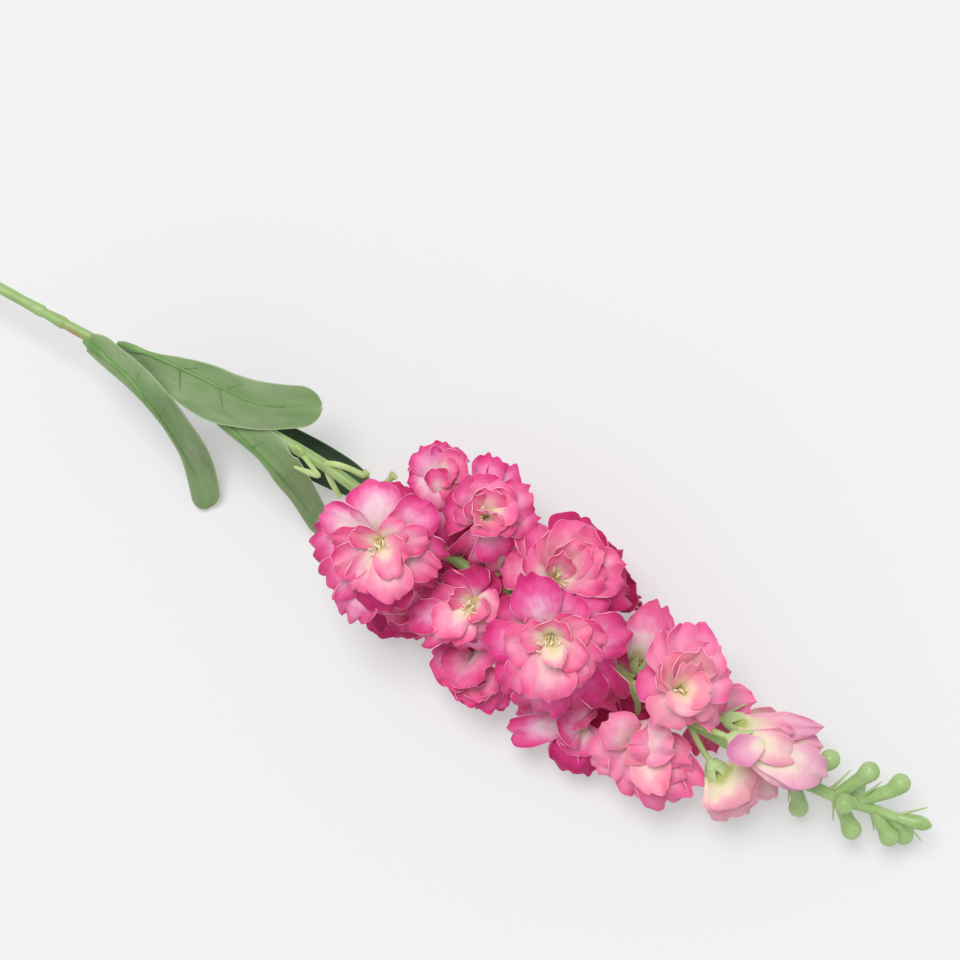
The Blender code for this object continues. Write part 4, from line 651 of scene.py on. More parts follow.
def ring_of_petals(bloom, cell, draw, level, count, ring):
    """One ring of petals, raised where a neighbour leaves less room."""
    right, up = flower_axes(unit(bloom.facing))
    heart = np.asarray(bloom.heart, float)
    open_share = bloom.openness
    petals = []
    for index in range(count):
        angle = math.radians(bloom.turn + 360 * (index + 0.5 * level) / count + draw.uniform(-9, 9))
        length = bloom.radius * ring.length * draw.uniform(0.93, 1.05) * HIDDEN_REACH
        rise_root = ring.rise_root * open_share + CLOSED_RISE[0] * (1 - open_share)
        rise_tip = ring.rise_tip * open_share + CLOSED_RISE[1] * (1 - open_share) + draw.uniform(-8, 8)
        outward = right * math.cos(angle) + up * math.sin(angle)
        free = free_reach(heart, outward, cell)
        crowding = max(0.0, 1 - free / (length * math.cos(math.radians(max(rise_tip, 0)))))
        rise_tip += (STEEPEST_RISE - rise_tip) * min(1.0, 0.85 * crowding)
        rise_root += (STEEPEST_RISE - rise_root) * min(1.0, 0.5 * crowding)
        petals.append(RingPetal(
            level, angle, length, length * ring.width * (0.6 + 0.4 * open_share) * draw.uniform(0.92, 1.06),
            rise_root, rise_tip, ring.cup, ring.root_height,
            PETAL_THICKNESS / 2 + 0.1 + LAYER_STEP * (1.4 * level + (index * 0.618) % 1)))
    return petals


def ring_petals(bloom, cell):
    """The petals of a bloom that the photograph hides: the rings that its solid has."""
    draw = random.Random(bloom.name)
    petals = []
    for level, (count, ring) in enumerate(zip(bloom.whorls, RINGS)):
        petals += ring_of_petals(bloom, cell, draw, level, count, ring)
    return petals


def petal_width(share, smooth_rim, claw=CLAW_OPEN):
    """The half width of a petal along its length, from its claw to its round end."""
    widest, narrowing = (0.52, 0.5) if smooth_rim else (0.66, 0.3)
    rising = np.sin(np.pi / 2 * np.clip(share / widest, 0, 1)) ** 1.2
    ending = 1 - narrowing * (np.clip((share - widest) / (1 - widest), 0, 1)) ** 2
    return 0.5 * (claw + (1 - claw) * rising) * ending


def is_half_open(bloom):
    """Whether a flower is one of the tubes in wide calyces next to the buds."""
    return bloom.name.startswith("half")


def calyx_radius(bloom):
    """The greatest radius of a flower's calyx."""
    return CALYX_RADIUS_HALF_OPEN if is_half_open(bloom) else CALYX_RADIUS


def root_spread(bloom):
    """How far from a flower's middle its petals are rooted: half-open flowers are tubes at the foot."""
    return 2.2 if is_half_open(bloom) else 0.9


def petal_midline(bloom, petal, share):
    """A shown petal's middle line at shares of its length.

    With it come its normals, the direction across the petal, and the straight length from root to tip.
    """
    facing = unit(bloom.facing)
    tip = place_pixel(petal.tip, petal.height)
    rise = 0.25 + 0.55 * petal.inner if bloom.openness > HIGH_OPENNESS else 0.05 + 0.15 * petal.inner
    root = bloom_base(bloom) + facing * (GAP + bloom.radius * HEART_HEIGHT * rise)
    root = root + root_spread(bloom) * unit(tip - root - np.dot(tip - root, facing) * facing)
    if petal.root:
        root = place_pixel(petal.root[:2], petal.root[2])
    chord = tip - root
    length = np.linalg.norm(chord)
    open_side = unit((1 - petal.up) * facing + petal.up * np.array((0, 0, 1.0)))
    normal = unit(open_side - np.dot(open_side, chord) / length ** 2 * chord)
    bulge = petal.arch * length
    leave = root + 0.34 * chord + 1.05 * bulge * normal
    arrive = root + 0.8 * chord + 0.85 * bulge * normal
    t = share[:, None]
    slope = (1 - t) ** 2 * (leave - root) + 2 * (1 - t) * t * (arrive - leave) + t ** 2 * (tip - arrive)
    sideways = unit(np.cross(normal, chord))
    return bezier(root, leave, arrive, tip, share), np.cross(unit_rows(slope), sideways), sideways, length


def ring_midline(bloom, petal, share, curl):
    """The same for a petal of a ring, which starts steep at its root and bends out along its length."""
    facing = unit(bloom.facing)
    right, up = flower_axes(facing)
    outward = right * math.cos(petal.angle) + up * math.sin(petal.angle)
    sideways = np.cross(facing, outward)
    fine = np.linspace(0, 1, 41)
    rise = np.radians(petal.rise_root + (petal.rise_tip - petal.rise_root) * fine ** 1.1 + curl * fine ** 6)
    step = petal.length / 40
    reach = 0.8 + np.concatenate(((0,), np.cumsum(np.cos(rise[1:]) * step)))
    tall = petal.root_height * bloom.radius * HEART_HEIGHT + np.concatenate(
        ((0,), np.cumsum(np.sin(rise[1:]) * step)))
    reach, tall, rise = (np.interp(share, fine, values)[:, None] for values in (reach, tall, rise))
    line = bloom_base(bloom) + GAP * facing + reach * outward + tall * facing
    return line, np.cos(rise) * facing - np.sin(rise) * outward, sideways, petal.length


def petal_surface(midline, width, smooth_rim, claw, cup, draw, along, across):
    """Points of a petal's middle surface: lobed at the rim, ruffled, creased and curled."""
    ragged = 0.3 if smooth_rim else 1.0
    wave = [draw.uniform(0, 6.28) for _ in range(7)]
    notch = draw.uniform(-0.35, 0.35)
    lobes = -NOTCH_DEPTH * np.exp(-((across - notch) / NOTCH_WIDTH) ** 2)
    for (depth, turns), start in zip(RIM_WAVES, wave):
        lobes = lobes + depth * np.sin(turns * across + start)
    rounding = 0.62 - 0.26 * ragged
    share = along * (1 - rounding * (1 - np.sqrt(1 - 0.98 * across ** 2)) + ragged * lobes - 0.01)
    share = np.clip(share, 0, 1.02)
    line, normal, sideways, length = midline(share)
    flare = 1 + 0.05 * np.sin(9 * share + wave[3]) + 0.025 * np.sin(21 * share + wave[2])
    side = across * width * petal_width(share, smooth_rim, claw) * flare
    size = 0.5 * (length + width) * (0.4 + 0.6 * ragged)
    lift = cup * width * across ** 2 * np.sin(np.pi * np.clip(share, 0, 0.8))
    for (height, growth, turns, twist), start in zip(RUFFLES, wave[4:]):
        lift = lift + height * size * share ** growth * np.sin(turns * across + twist * share + start)
    lift = lift + SIDE_RUFFLE * size * np.abs(across) ** 3 * share * np.sin(9 * share + wave[0] + 2 * across)
    crease = np.exp(-(across / CREASE_WIDTH) ** 2) * np.sin(np.pi * np.clip(share, 0, 1))
    curl = np.clip((share - RIM_CURL_FROM) / (1 - RIM_CURL_FROM), 0, 1) ** 2
    lift = lift - CREASE_DEPTH * size * crease + draw.uniform(*RIM_CURL) * size * curl
    points = line + side[:, None] * sideways + lift[:, None] * normal
    return points, share, side, length


def clear_of_stem(points, room):
    """Bends points round the main stem, so that a leaf rests on it and doesn't cut it."""
    axis = np.array([stem_point(x) for x in points[:, 0]])
    away = points[:, 1:] - axis[:, 1:]
    distance = np.linalg.norm(away, axis=1)
    wanted = np.array([stem_radius(x) for x in points[:, 0]]) + room
    push = np.maximum(wanted / np.maximum(distance, 0.01), 1.0)
    points = points.copy()
    points[:, 1:] = axis[:, 1:] + away * push[:, None]
    return points


def leaf_route(leaf):
    """A leaf's middle line, and the distance along it at each of its points."""
    route = smooth_route(place_route(leaf.rib), 6)
    return route, distances_along(route)


def leaf_surface(leaf, along, across):
    """Points of a blade's middle surface, with its normals, half widths and the distance along the rib."""
    route, steps = leaf_route(leaf)
    tangents = unit_rows(np.gradient(route, axis=0))
    reach = (0.02 + 0.98 * along) * steps[-1]
    middle, tangent = (np.stack([np.interp(reach, steps, values[:, axis]) for axis in range(3)], axis=-1)
                       for values in (route, tangents))
    left = unit_rows(np.cross(np.array((0, 0, 1.0)), tangent))
    normal = np.cross(tangent, left)
    widths, folds = [], []
    for half in (leaf.left, leaf.right):
        widths.append(np.interp(reach, steps, smooth_values(half.widths, 6)))
        folds.append(np.tan(np.radians(np.interp(reach / steps[-1], FOLD_SHARES, half.folds))))
    end_room = LEAF_END_ROUNDING * (leaf.left.widths[-1] + leaf.right.widths[-1])
    into_end = np.clip((reach - steps[-1] + end_room) / end_room, 0, 0.99)
    width = np.where(across > 0, widths[0], widths[1]) * np.sqrt(1 - into_end ** 2)
    side = across * width
    lift = np.abs(side) * np.where(across > 0, folds[0], folds[1])
    lift = lift + LEAF_WAVE_HEIGHT * np.abs(across) * np.sin(0.11 * reach + 2 * across)
    blade = middle + left * side[:, None] + normal * lift[:, None]
    points = clear_of_stem(blade, LEAF_THICKNESS / 2 + 2 * GAP)
    points[:, 2] = np.maximum(points[:, 2], LEAF_THICKNESS / 2)
    return points, normal, width, reach


def frame_shift():
    """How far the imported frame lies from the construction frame, found at the stem's cut end."""
    points = np.array([vert.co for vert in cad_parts["stem"].data.vertices]) / MM
    end = points[points[:, 0] < points[:, 0].min() + 0.05]
    return (end.min(axis=0) + end.max(axis=0)) / 2 - np.array(STEM_ROUTE[0])


SHIFT = frame_shift()


class Shape:
    """Gathers points, faces and the values that a material reads, and makes one piece of it all."""

    def __init__(self, *attributes):
        """Starts empty, with the names of the values that each point carries."""
        self.attributes = {name: [] for name in attributes}
        self.points = []
        self.faces = []
        self.slots = []
        self.count = 0

    def add(self, points, faces, slot, **values):
        """Adds points with their faces, which count from the first of them, in one material slot."""
        points = np.asarray(points, float).reshape(-1, 3)
        self.points.append(points)
        self.faces.append(np.asarray(faces) + self.count)
        self.slots.append(np.full(len(faces), slot))
        for name in self.attributes:
            value = np.asarray(values.get(name, (0, 0, 0)), float)
            self.attributes[name].append(np.broadcast_to(value, (len(points), 3)))
        self.count += len(points)

    def make(self, name, materials, sharp=50):
        """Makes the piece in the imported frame. Edges sharper than this angle in degrees stay sharp."""
        mesh = bpy.data.meshes.new(name)
        points = (np.vstack(self.points) + SHIFT) * MM
        faces = [face for group in self.faces for face in group.tolist()]
        mesh.from_pydata(points.tolist(), [], faces)
        for attribute, values in self.attributes.items():
            layer = mesh.attributes.new(attribute, "FLOAT_VECTOR", "POINT")
            layer.data.foreach_set("vector", np.vstack(values).astype(np.float32).ravel())
        for material in materials:
            mesh.materials.append(material)
        mesh.polygons.foreach_set("material_index", np.concatenate(self.slots).astype(np.int32))
        mesh.shade_smooth()
        mesh.set_sharp_from_angle(angle=math.radians(sharp))
        mesh.update()
        piece = bpy.data.objects.new(name, mesh)
        bpy.context.scene.collection.objects.link(piece)
        return piece


def grid_faces(rows, columns):
    """The faces of a grid of (rows + 1) by (columns + 1) points."""
    corner = (np.arange(rows)[:, None] * (columns + 1) + np.arange(columns)[None, :]).ravel()
    return np.stack((corner, corner + 1, corner + columns + 2, corner + columns + 1), axis=1)


def grid_rim(rows, columns):
    """The indices of a grid's edge points in order round it."""
    wide = columns + 1
    first = list(range(0, columns))
    far = [row * wide + columns for row in range(0, rows)]
    last = [rows * wide + column for column in range(columns, 0, -1)]
    near = [row * wide for row in range(rows, 0, -1)]
    return np.array(first + far + last + near)


def sheet_places(rows, columns):
    """Places on a sheet, row by row: 0 to 1 along it, and -1 to 1 across it, closer at its sides."""
    along = np.repeat(np.linspace(0, 1, rows + 1), columns + 1)
    across = np.tile(np.sin(np.linspace(-np.pi / 2, np.pi / 2, columns + 1)), rows + 1)
    return along, across


def add_cloth(shape, points, rows, columns, thickness, slots, **values):
    """Adds a thin closed sheet: a grid of points thickened on both sides. slots are front, back and rim."""
    grid = points.reshape(rows + 1, columns + 1, 3)
    normals = np.cross(np.gradient(grid, axis=0), np.gradient(grid, axis=1)).reshape(-1, 3)
    normals /= np.maximum(np.linalg.norm(normals, axis=1), 1e-9)[:, None]
    faces = grid_faces(rows, columns)
    front = points + normals * thickness / 2
    back = points - normals * thickness / 2
    shape.add(front, faces[:, ::-1], slots[0], **values)
    shape.add(back, faces, slots[1], **values)
    rim = grid_rim(rows, columns)
    after = np.roll(rim, -1)
    total = len(points)
    shape.faces.append(np.stack((rim, after, after + total, rim + total), axis=1) + shape.count - 2 * total)
    shape.slots.append(np.full(len(rim), slots[2]))


def tube_rings(route, radii, sides):
    """Rings of points round a route, turned along it without twist, with the distance along it."""
    route = np.asarray(route, float)
    radii = np.broadcast_to(np.asarray(radii, float), (len(route),))
    tangents = unit_rows(np.gradient(route, axis=0))
    across = unit(np.cross(tangents[0], (0.0, 0.3, 1.0)))
    angles = np.linspace(0, 2 * np.pi, sides, endpoint=False) + np.pi / 2
    rings = []
    for place, tangent, radius in zip(route, tangents, radii):
        across = unit(across - np.dot(across, tangent) * tangent)
        other = np.cross(tangent, across)
        ring = place + radius * (np.cos(angles)[:, None] * across + np.sin(angles)[:, None] * other)
        rings.append(ring)
    return np.array(rings), distances_along(route)


def add_tube(shape, route, radii, sides, slot, seed=0.0):
    """Adds a closed round tube. Its material reads the distance round it and along it in millimetres."""
    rings, steps = tube_rings(route, radii, sides)
    count = len(rings)
    radii = np.broadcast_to(np.asarray(radii, float), (count,))
    round_mm = np.linspace(0, 1, sides, endpoint=False)[None, :] * 2 * np.pi * radii[:, None]
    along_mm = np.broadcast_to(steps[:, None], (count, sides))
    values = np.stack((round_mm, along_mm, np.full((count, sides), seed)), axis=-1).reshape(-1, 3)
    points = rings.reshape(-1, 3)
    corner = np.arange(count - 1)[:, None] * sides + np.arange(sides)[None, :]
    beside = np.arange(count - 1)[:, None] * sides + (np.arange(sides) + 1)[None, :] % sides
    faces = np.stack((corner, beside, beside + sides, corner + sides), axis=-1).reshape(-1, 4)
    ends = np.vstack((rings[0].mean(axis=0), rings[-1].mean(axis=0)))
    points = np.vstack((points, ends))
    values = np.vstack((values, values[0], values[-1]))
    shape.add(points, faces, slot, mould_mm=values)
    base = shape.count - len(points)
    around = np.arange(sides)
    ahead = (around + 1) % sides
    total = count * sides
    start = np.stack((ahead, around, np.full(sides, total)), axis=1)
    finish = np.stack((around, ahead, np.full(sides, total + 1)), axis=1)
    finish[:, :2] += total - sides
    shape.faces.append(np.vstack((start, finish)) + base)
    shape.slots.append(np.full(2 * sides, slot))


def linear(hex_colour):
    """A linear colour with alpha from an sRGB hex value such as F0F0F0."""
    channels = [int(hex_colour[i:i + 2], 16) / 255 for i in (0, 2, 4)]
    return tuple(c / 12.92 if c <= 0.04045 else ((c + 0.055) / 1.055) ** 2.4 for c in channels) + (1.0,)


def add_node(tree, kind, settings=None, values=None, links=None, stops=None):
    """Adds a shader node, with its settings, socket values, links from other sockets, and ramp stops."""
    node = tree.nodes.new(kind)
    for key, value in (settings or {}).items():
        setattr(node, key, value)
    for key, value in (values or {}).items():
        node.inputs[key].default_value = value
    for key, source in (links or {}).items():
        tree.links.new(source, node.inputs[key])
    if stops:
        elements = node.color_ramp.elements
        while len(elements) < len(stops):
            elements.new(0.5)
        for element, (place, colour) in zip(elements, stops):
            element.position = place
            element.color = linear(colour) if isinstance(colour, str) else (colour, colour, colour, 1.0)
    return node


def new_material(name, roughness, settings=None):
    """A material with one Principled shader, whose constants are set on its own sockets."""
    material = bpy.data.materials.new(name)
    material.use_nodes = True
    tree = material.node_tree
    tree.nodes.clear()
    shader = add_node(tree, "ShaderNodeBsdfPrincipled", values={"Roughness": roughness, **(settings or {})})
    add_node(tree, "ShaderNodeOutputMaterial", links={"Surface": shader.outputs["BSDF"]})
    return material, tree, shader


def attribute(tree, name):
    """The vector that a piece's points carry under a name."""
    return add_node(tree, "ShaderNodeAttribute", {"attribute_name": name}).outputs["Vector"]


def object_place(tree):
    """The place on the piece, in metres."""
    return add_node(tree, "ShaderNodeTexCoord").outputs["Object"]


def parts_of(tree, vector):
    """A vector's three parts."""
    return add_node(tree, "ShaderNodeSeparateXYZ", links={"Vector": vector}).outputs


def scaled(tree, vector, factors):
    """A vector multiplied by a factor on each axis."""
    node = add_node(tree, "ShaderNodeVectorMath", {"operation": "MULTIPLY"}, {1: factors}, {0: vector})
    return node.outputs["Vector"]


def computed(tree, operation, *terms):
    """The result of a Math node. Each term is a socket or a plain number."""
    node = add_node(tree, "ShaderNodeMath", {"operation": operation})
    for socket, term in zip(node.inputs, terms):
        if isinstance(term, float):
            socket.default_value = term
        else:
            tree.links.new(term, socket)
    return node.outputs["Value"]


def noise(tree, vector, scale, detail, roughness=0.5):
    """An uneven pattern with this many spots along one unit of the vector."""
    values = {"Scale": scale, "Detail": detail, "Roughness": roughness}
    return add_node(tree, "ShaderNodeTexNoise", {}, values, {"Vector": vector}).outputs["Fac"]


def thread_lines(tree, vector, direction, scale, distortion, detail=2.0):
    """Parallel threads across one axis of the vector, 0.314 / scale apart."""
    return add_node(tree, "ShaderNodeTexWave", {"wave_type": "BANDS", "bands_direction": direction},
                    {"Scale": scale, "Distortion": distortion, "Detail": detail},
                    {"Vector": vector}).outputs["Fac"]


def colour_ramp(tree, value, stops):
    """The colour that a ramp of stops gives a value."""
    return add_node(tree, "ShaderNodeValToRGB", links={"Fac": value}, stops=stops).outputs["Color"]


def blended(tree, factor, first, second):
    """Two colours mixed by a factor. Each is a socket or a plain linear colour."""
    values, links = {}, {"Factor": factor}
    for key, colour in (("A", first), ("B", second)):
        side = values if isinstance(colour, tuple) else links
        side[key] = colour
    return add_node(tree, "ShaderNodeMix", {"data_type": "RGBA"}, values, links).outputs[2]


def fading(tree, value, start, end, strength):
    """A strength that eases to 0 while a value grows from start to end."""
    values = {"From Min": start, "From Max": end, "To Min": strength, "To Max": 0.0}
    return add_node(tree, "ShaderNodeMapRange", {"interpolation_type": "SMOOTHSTEP"}, values,
                    {"Value": value}).outputs["Result"]


def nearness(tree, value, middle, reach):
    """How near a value is to a middle one: 0.85 there, easing to 0 at a reach on both sides."""
    distance = computed(tree, "ABSOLUTE", computed(tree, "SUBTRACT", value, float(middle)))
    return fading(tree, distance, 0.0, reach, 0.85)


def raise_surface(tree, shader, height, strength, depth):
    """Gives a shader a relief, with its depth in metres."""
    values = {"Strength": strength, "Distance": depth}
    bump = add_node(tree, "ShaderNodeBump", {}, values, {"Height": height})
    tree.links.new(bump.outputs["Normal"], shader.inputs["Normal"])


def petal_cloth(name, outer, inner, edge):
    """Woven polyester petals, dyed by spraying after cutting and pressed into shape with a hot ball.

    The dye is deepest at the rim of the outer petals and thins to bare cream at the claw. The cut edge shows
    as a thin pale line, and fine streaks run along the cloth from the pressed pleats.
    """
    material, tree, shader = new_material(name, 0.58, {
        "IOR": 1.45, "Specular IOR Level": 0.24, "Sheen Weight": 0.1, "Sheen Roughness": 0.45,
        "Subsurface Weight": 0.12, "Subsurface Scale": 0.002, "Subsurface Radius": (1.0, 0.36, 0.46)})
    along, across_squared, from_edge = parts_of(tree, attribute(tree, "petal_where"))
    heart_share, brightness, dye = parts_of(tree, attribute(tree, "petal_kind"))
    cloth = attribute(tree, "cloth_mm")
    # Streaks about 0.9 mm apart that run the petal's length, and blotches of dye about 6 mm across
    streaks = noise(tree, scaled(tree, cloth, (1.1, 0.12, 1.0)), 1.0, 2.0, 0.6)
    blotches = noise(tree, cloth, 0.16, 2.0)
    # How deep the dye is: it grows along the petal and towards its sides
    depth = computed(tree, "MULTIPLY_ADD", across_squared, 0.34, -0.1)
    depth = computed(tree, "MULTIPLY_ADD", along, 0.92, depth)
    depth = computed(tree, "ADD", depth, computed(tree, "MULTIPLY_ADD", blotches, 0.5, -0.25))
    depth = computed(tree, "ADD", depth, computed(tree, "MULTIPLY_ADD", streaks, 0.12, -0.06))
    # Each petal's own dye offset, partly the cloth's uneven dye and partly painted shade and light: low
    # petals and hidden flowers' petals get deeper colour, the highest petals lighter colour
    depth = computed(tree, "ADD", depth, dye)
    colour = blended(tree, heart_share, colour_ramp(tree, depth, outer), colour_ramp(tree, depth, inner))
    # Each petal is a little lighter or darker than the next
    shade = add_node(tree, "ShaderNodeHueSaturation", links={"Value": brightness, "Color": colour})
    edge_line = fading(tree, from_edge, 0.05, 0.3, 0.3)
    colour = blended(tree, edge_line, shade.outputs["Color"], linear(edge))
    tree.links.new(colour, shader.inputs["Base Color"])
    # Threads are about 0.2 mm apart; they are drawn at 0.7 mm, as coarse as they need to show
    threads = thread_lines(tree, cloth, "X", 0.45, 1.5, 1.0)
    raise_surface(tree, shader, computed(tree, "MULTIPLY_ADD", streaks, 1.6, threads), 0.16, 0.0004)
    return material


def cut_edge(name, colour):
    """The cut edge of the cloth, sealed with heat: bare pale fibre that no dye has reached."""
    material, tree, shader = new_material(name, 0.7, {
        "Base Color": linear(colour), "IOR": 1.45, "Sheen Weight": 0.2})
    # Frayed fibre ends about 0.4 mm apart
    raise_surface(tree, shader, noise(tree, object_place(tree), 2500.0, 2.0), 0.4, 0.0002)
    return material


def moulded_plastic(name, light, mid, dark, roughness, stain=None):
    """Moulded polyethylene: soft satin gloss, waxy depth, and pigment that flowed in unevenly."""
    material, tree, shader = new_material(name, roughness, {
        "IOR": 1.5, "Specular IOR Level": 0.42, "Subsurface Weight": 0.18, "Subsurface Scale": 0.0025,
        "Subsurface Radius": (0.6, 1.0, 0.3)})
    mould = attribute(tree, "mould_mm")
    # Pigment clouds about 12 mm across, and lengthwise flow lines about 1 mm apart
    clouds = noise(tree, object_place(tree), 85.0, 3.0)
    flow = noise(tree, scaled(tree, mould, (1.0, 0.06, 1.0)), 1.0, 3.0)
    pigment = computed(tree, "MULTIPLY_ADD", flow, 0.55, clouds)
    pigment = computed(tree, "MULTIPLY_ADD", pigment, 0.9, -0.2)
    colour = colour_ramp(tree, pigment, ((0.2, dark), (0.5, mid), (0.8, light)))
    if stain:
        round_mm, along_mm, _ = parts_of(tree, mould)
        near = computed(tree, "MULTIPLY", nearness(tree, along_mm, stain.along, stain.reach),
                        nearness(tree, round_mm, stain.round, stain.half_width))
        colour = blended(tree, near, colour, linear(stain.colour))
    tree.links.new(colour, shader.inputs["Base Color"])
    raise_surface(tree, shader, flow, 0.12, 0.0005)
    return material


def leaf_cloth(name, print_colours, roughness):
    """Coated polyester leaves: woven cloth, printed green and pressed to a fold along the rib."""
    light, mid, dark, beside_rib, dull, edge = print_colours
    material, tree, shader = new_material(name, roughness, {
        "IOR": 1.46, "Specular IOR Level": 0.3, "Sheen Weight": 0.12, "Subsurface Weight": 0.06,
        "Subsurface Scale": 0.001, "Subsurface Radius": (0.5, 1.0, 0.3)})
    rib_nearness, from_edge, _ = parts_of(tree, attribute(tree, "leaf_where"))
    cloth = attribute(tree, "cloth_mm")
    # Faint uneven print: brushed streaks about 5 mm wide along the leaf
    streaks = noise(tree, scaled(tree, cloth, (0.2, 0.045, 1.0)), 1.0, 4.0, 0.62)
    colour = colour_ramp(tree, streaks, ((0.32, dark), (0.52, mid), (0.7, light)))
    # Dull patches about 15 mm across, and a greener print beside the rib
    patches = add_node(tree, "ShaderNodeMapRange", {}, {"From Min": 0.5, "From Max": 0.72, "To Max": 0.45},
                       {"Value": noise(tree, cloth, 0.07, 2.0)})
    colour = blended(tree, patches.outputs["Result"], colour, linear(dull))
    colour = blended(tree, computed(tree, "MULTIPLY", rib_nearness, 0.45), colour, linear(beside_rib))
    colour = blended(tree, fading(tree, from_edge, 0.15, 0.6, 0.5), colour, linear(edge))
    tree.links.new(colour, shader.inputs["Base Color"])
    # The weave's threads are 0.3 mm apart; they are drawn at 0.8 mm, as coarse as they need to show
    weave = computed(tree, "ADD", thread_lines(tree, cloth, "X", 0.4, 0.6),
                     thread_lines(tree, cloth, "Y", 0.4, 0.6))
    raise_surface(tree, shader, computed(tree, "MULTIPLY_ADD", streaks, 4.0, weave), 0.07, 0.0005)
    return material


def light_table(name, colour, glow):
    """A sheet of opal acrylic with a matt face, lit softly from below, so that shadows on it stay faint."""
    material, tree, shader = new_material(name, 0.75, {
        "IOR": 1.49, "Specular IOR Level": 0.1, "Emission Color": linear("F7F7F7"),
        "Emission Strength": glow})
    # The tooth of the matt face, about 1 mm across
    tooth = noise(tree, object_place(tree), 900.0, 2.0)
    tone = blended(tree, tooth, tuple(colour), linear("BCBCBD"))
    tree.links.new(tone, shader.inputs["Base Color"])
    raise_surface(tree, shader, tooth, 0.03, 0.0002)
    return material


# Dye of the petals along their length, as sRGB: for the outer petals and for those of the heart
DEEP_OUTER = ((0.0, "E6DFAE"), (0.13, "FAEDEB"), (0.32, "F9D2E1"), (0.48, "F396C1"), (0.64, "E85C9C"),
              (0.82, "DB3782"), (1.0, "BE2367"))
DEEP_INNER = ((0.0, "DCD596"), (0.13, "F4EAC2"), (0.3, "FBD7CB"), (0.48, "FCA5BC"), (0.7, "FA7DA4"),
              (0.86, "F05E94"), (1.0, "DE4080"))
CLEAR_OUTER = ((0.0, "E4E0A8"), (0.14, "FAEEDF"), (0.32, "FACFDD"), (0.52, "F79DC2"), (0.76, "F074A9"),
               (1.0, "DF4F90"))
CLEAR_INNER = ((0.0, "DBD592"), (0.14, "F6EDC6"), (0.32, "FBD6C9"), (0.52, "FCABBA"), (0.78, "FB8FA9"),
               (1.0, "F06E99"))
PALE_OUTER = ((0.0, "B8CE78"), (0.16, "EDEBC0"), (0.36, "F8D9D2"), (0.56, "F3B5C9"), (0.78, "E79EC1"),
              (1.0, "DA85B1"))
PALE_INNER = ((0.0, "C6CC80"), (0.18, "F0ECC0"), (0.4, "F9D8CC"), (0.58, "F7B3B9"), (0.8, "F195A9"),
              (1.0, "E4809B"))
CUT_EDGE = "F4AECA"
# Flowers nearer to the cut end than this many millimetres are dyed deeper
DEEP_DYE_UP_TO = 545
# The print of the leaves' two sides: light, mid and dark, beside the rib, dull patches and the edge
LEAF_BACK_PRINT = ("93A57D", "7F9868", "6E8A5B", "6C9450", "8C9678", "B3C49C")
LEAF_FACE_PRINT = ("3B573D", "2E4831", "243A29", "547350", "364D34", "64825C")

# The studio: a wide sun, offset in the picture's right, its up and height, an even surround, and the table
SUN_OFFSET = (-200, 400, 1000)
SUN_WIDTH = 26
SUN_STRENGTH = 1.9
SURROUND_STRENGTH = 0.65
TABLE_SIZE = 12000


class DelphiniumSettings(bpy.types.PropertyGroup):
    """Sizes and colours that a maker would change."""

    cloth_thickness: bpy.props.FloatProperty(
        name="Petal cloth", description="Thickness of a petal's cloth", default=0.00032, min=0.0001,
        max=0.0007, unit="LENGTH")
    leaf_thickness: bpy.props.FloatProperty(
        name="Leaf cloth", description="Thickness of a leaf's coated cloth", default=0.0006, min=0.0002,
        max=0.001, unit="LENGTH")
    petal_rows: bpy.props.IntProperty(
        name="Petal rows", description="Rows of faces along a petal", default=20, min=6, max=40)
    petal_columns: bpy.props.IntProperty(
        name="Petal columns", description="Columns of faces across a petal", default=18, min=6, max=40)
    leaf_rows: bpy.props.IntProperty(
        name="Leaf rows", description="Rows of faces along a leaf", default=90, min=20, max=120)
    leaf_columns: bpy.props.IntProperty(
        name="Leaf columns", description="Columns of faces across a leaf", default=32, min=8, max=48)
    stamens: bpy.props.IntProperty(
        name="Stamens", description="Threads in the heart of an open flower", default=11, min=0, max=30)
    table_colour: bpy.props.FloatVectorProperty(
        name="Table", description="Colour of the light table that the stem lies on", subtype="COLOR",
        size=4, default=linear("BABABA"), min=0.0, max=1.0)
    table_glow: bpy.props.FloatProperty(
        name="Table glow", description="Strength of the light that comes through the table", default=0.34,
        min=0.0, max=2.0)


def place(piece, slot, *nodes):
    """Ties a piece to the frame: it rides on the root and stands for some nodes, whose parts it hides. slot
    is not used.
    """
    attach(piece, "root")
    if nodes:
        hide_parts(*nodes)
    return piece


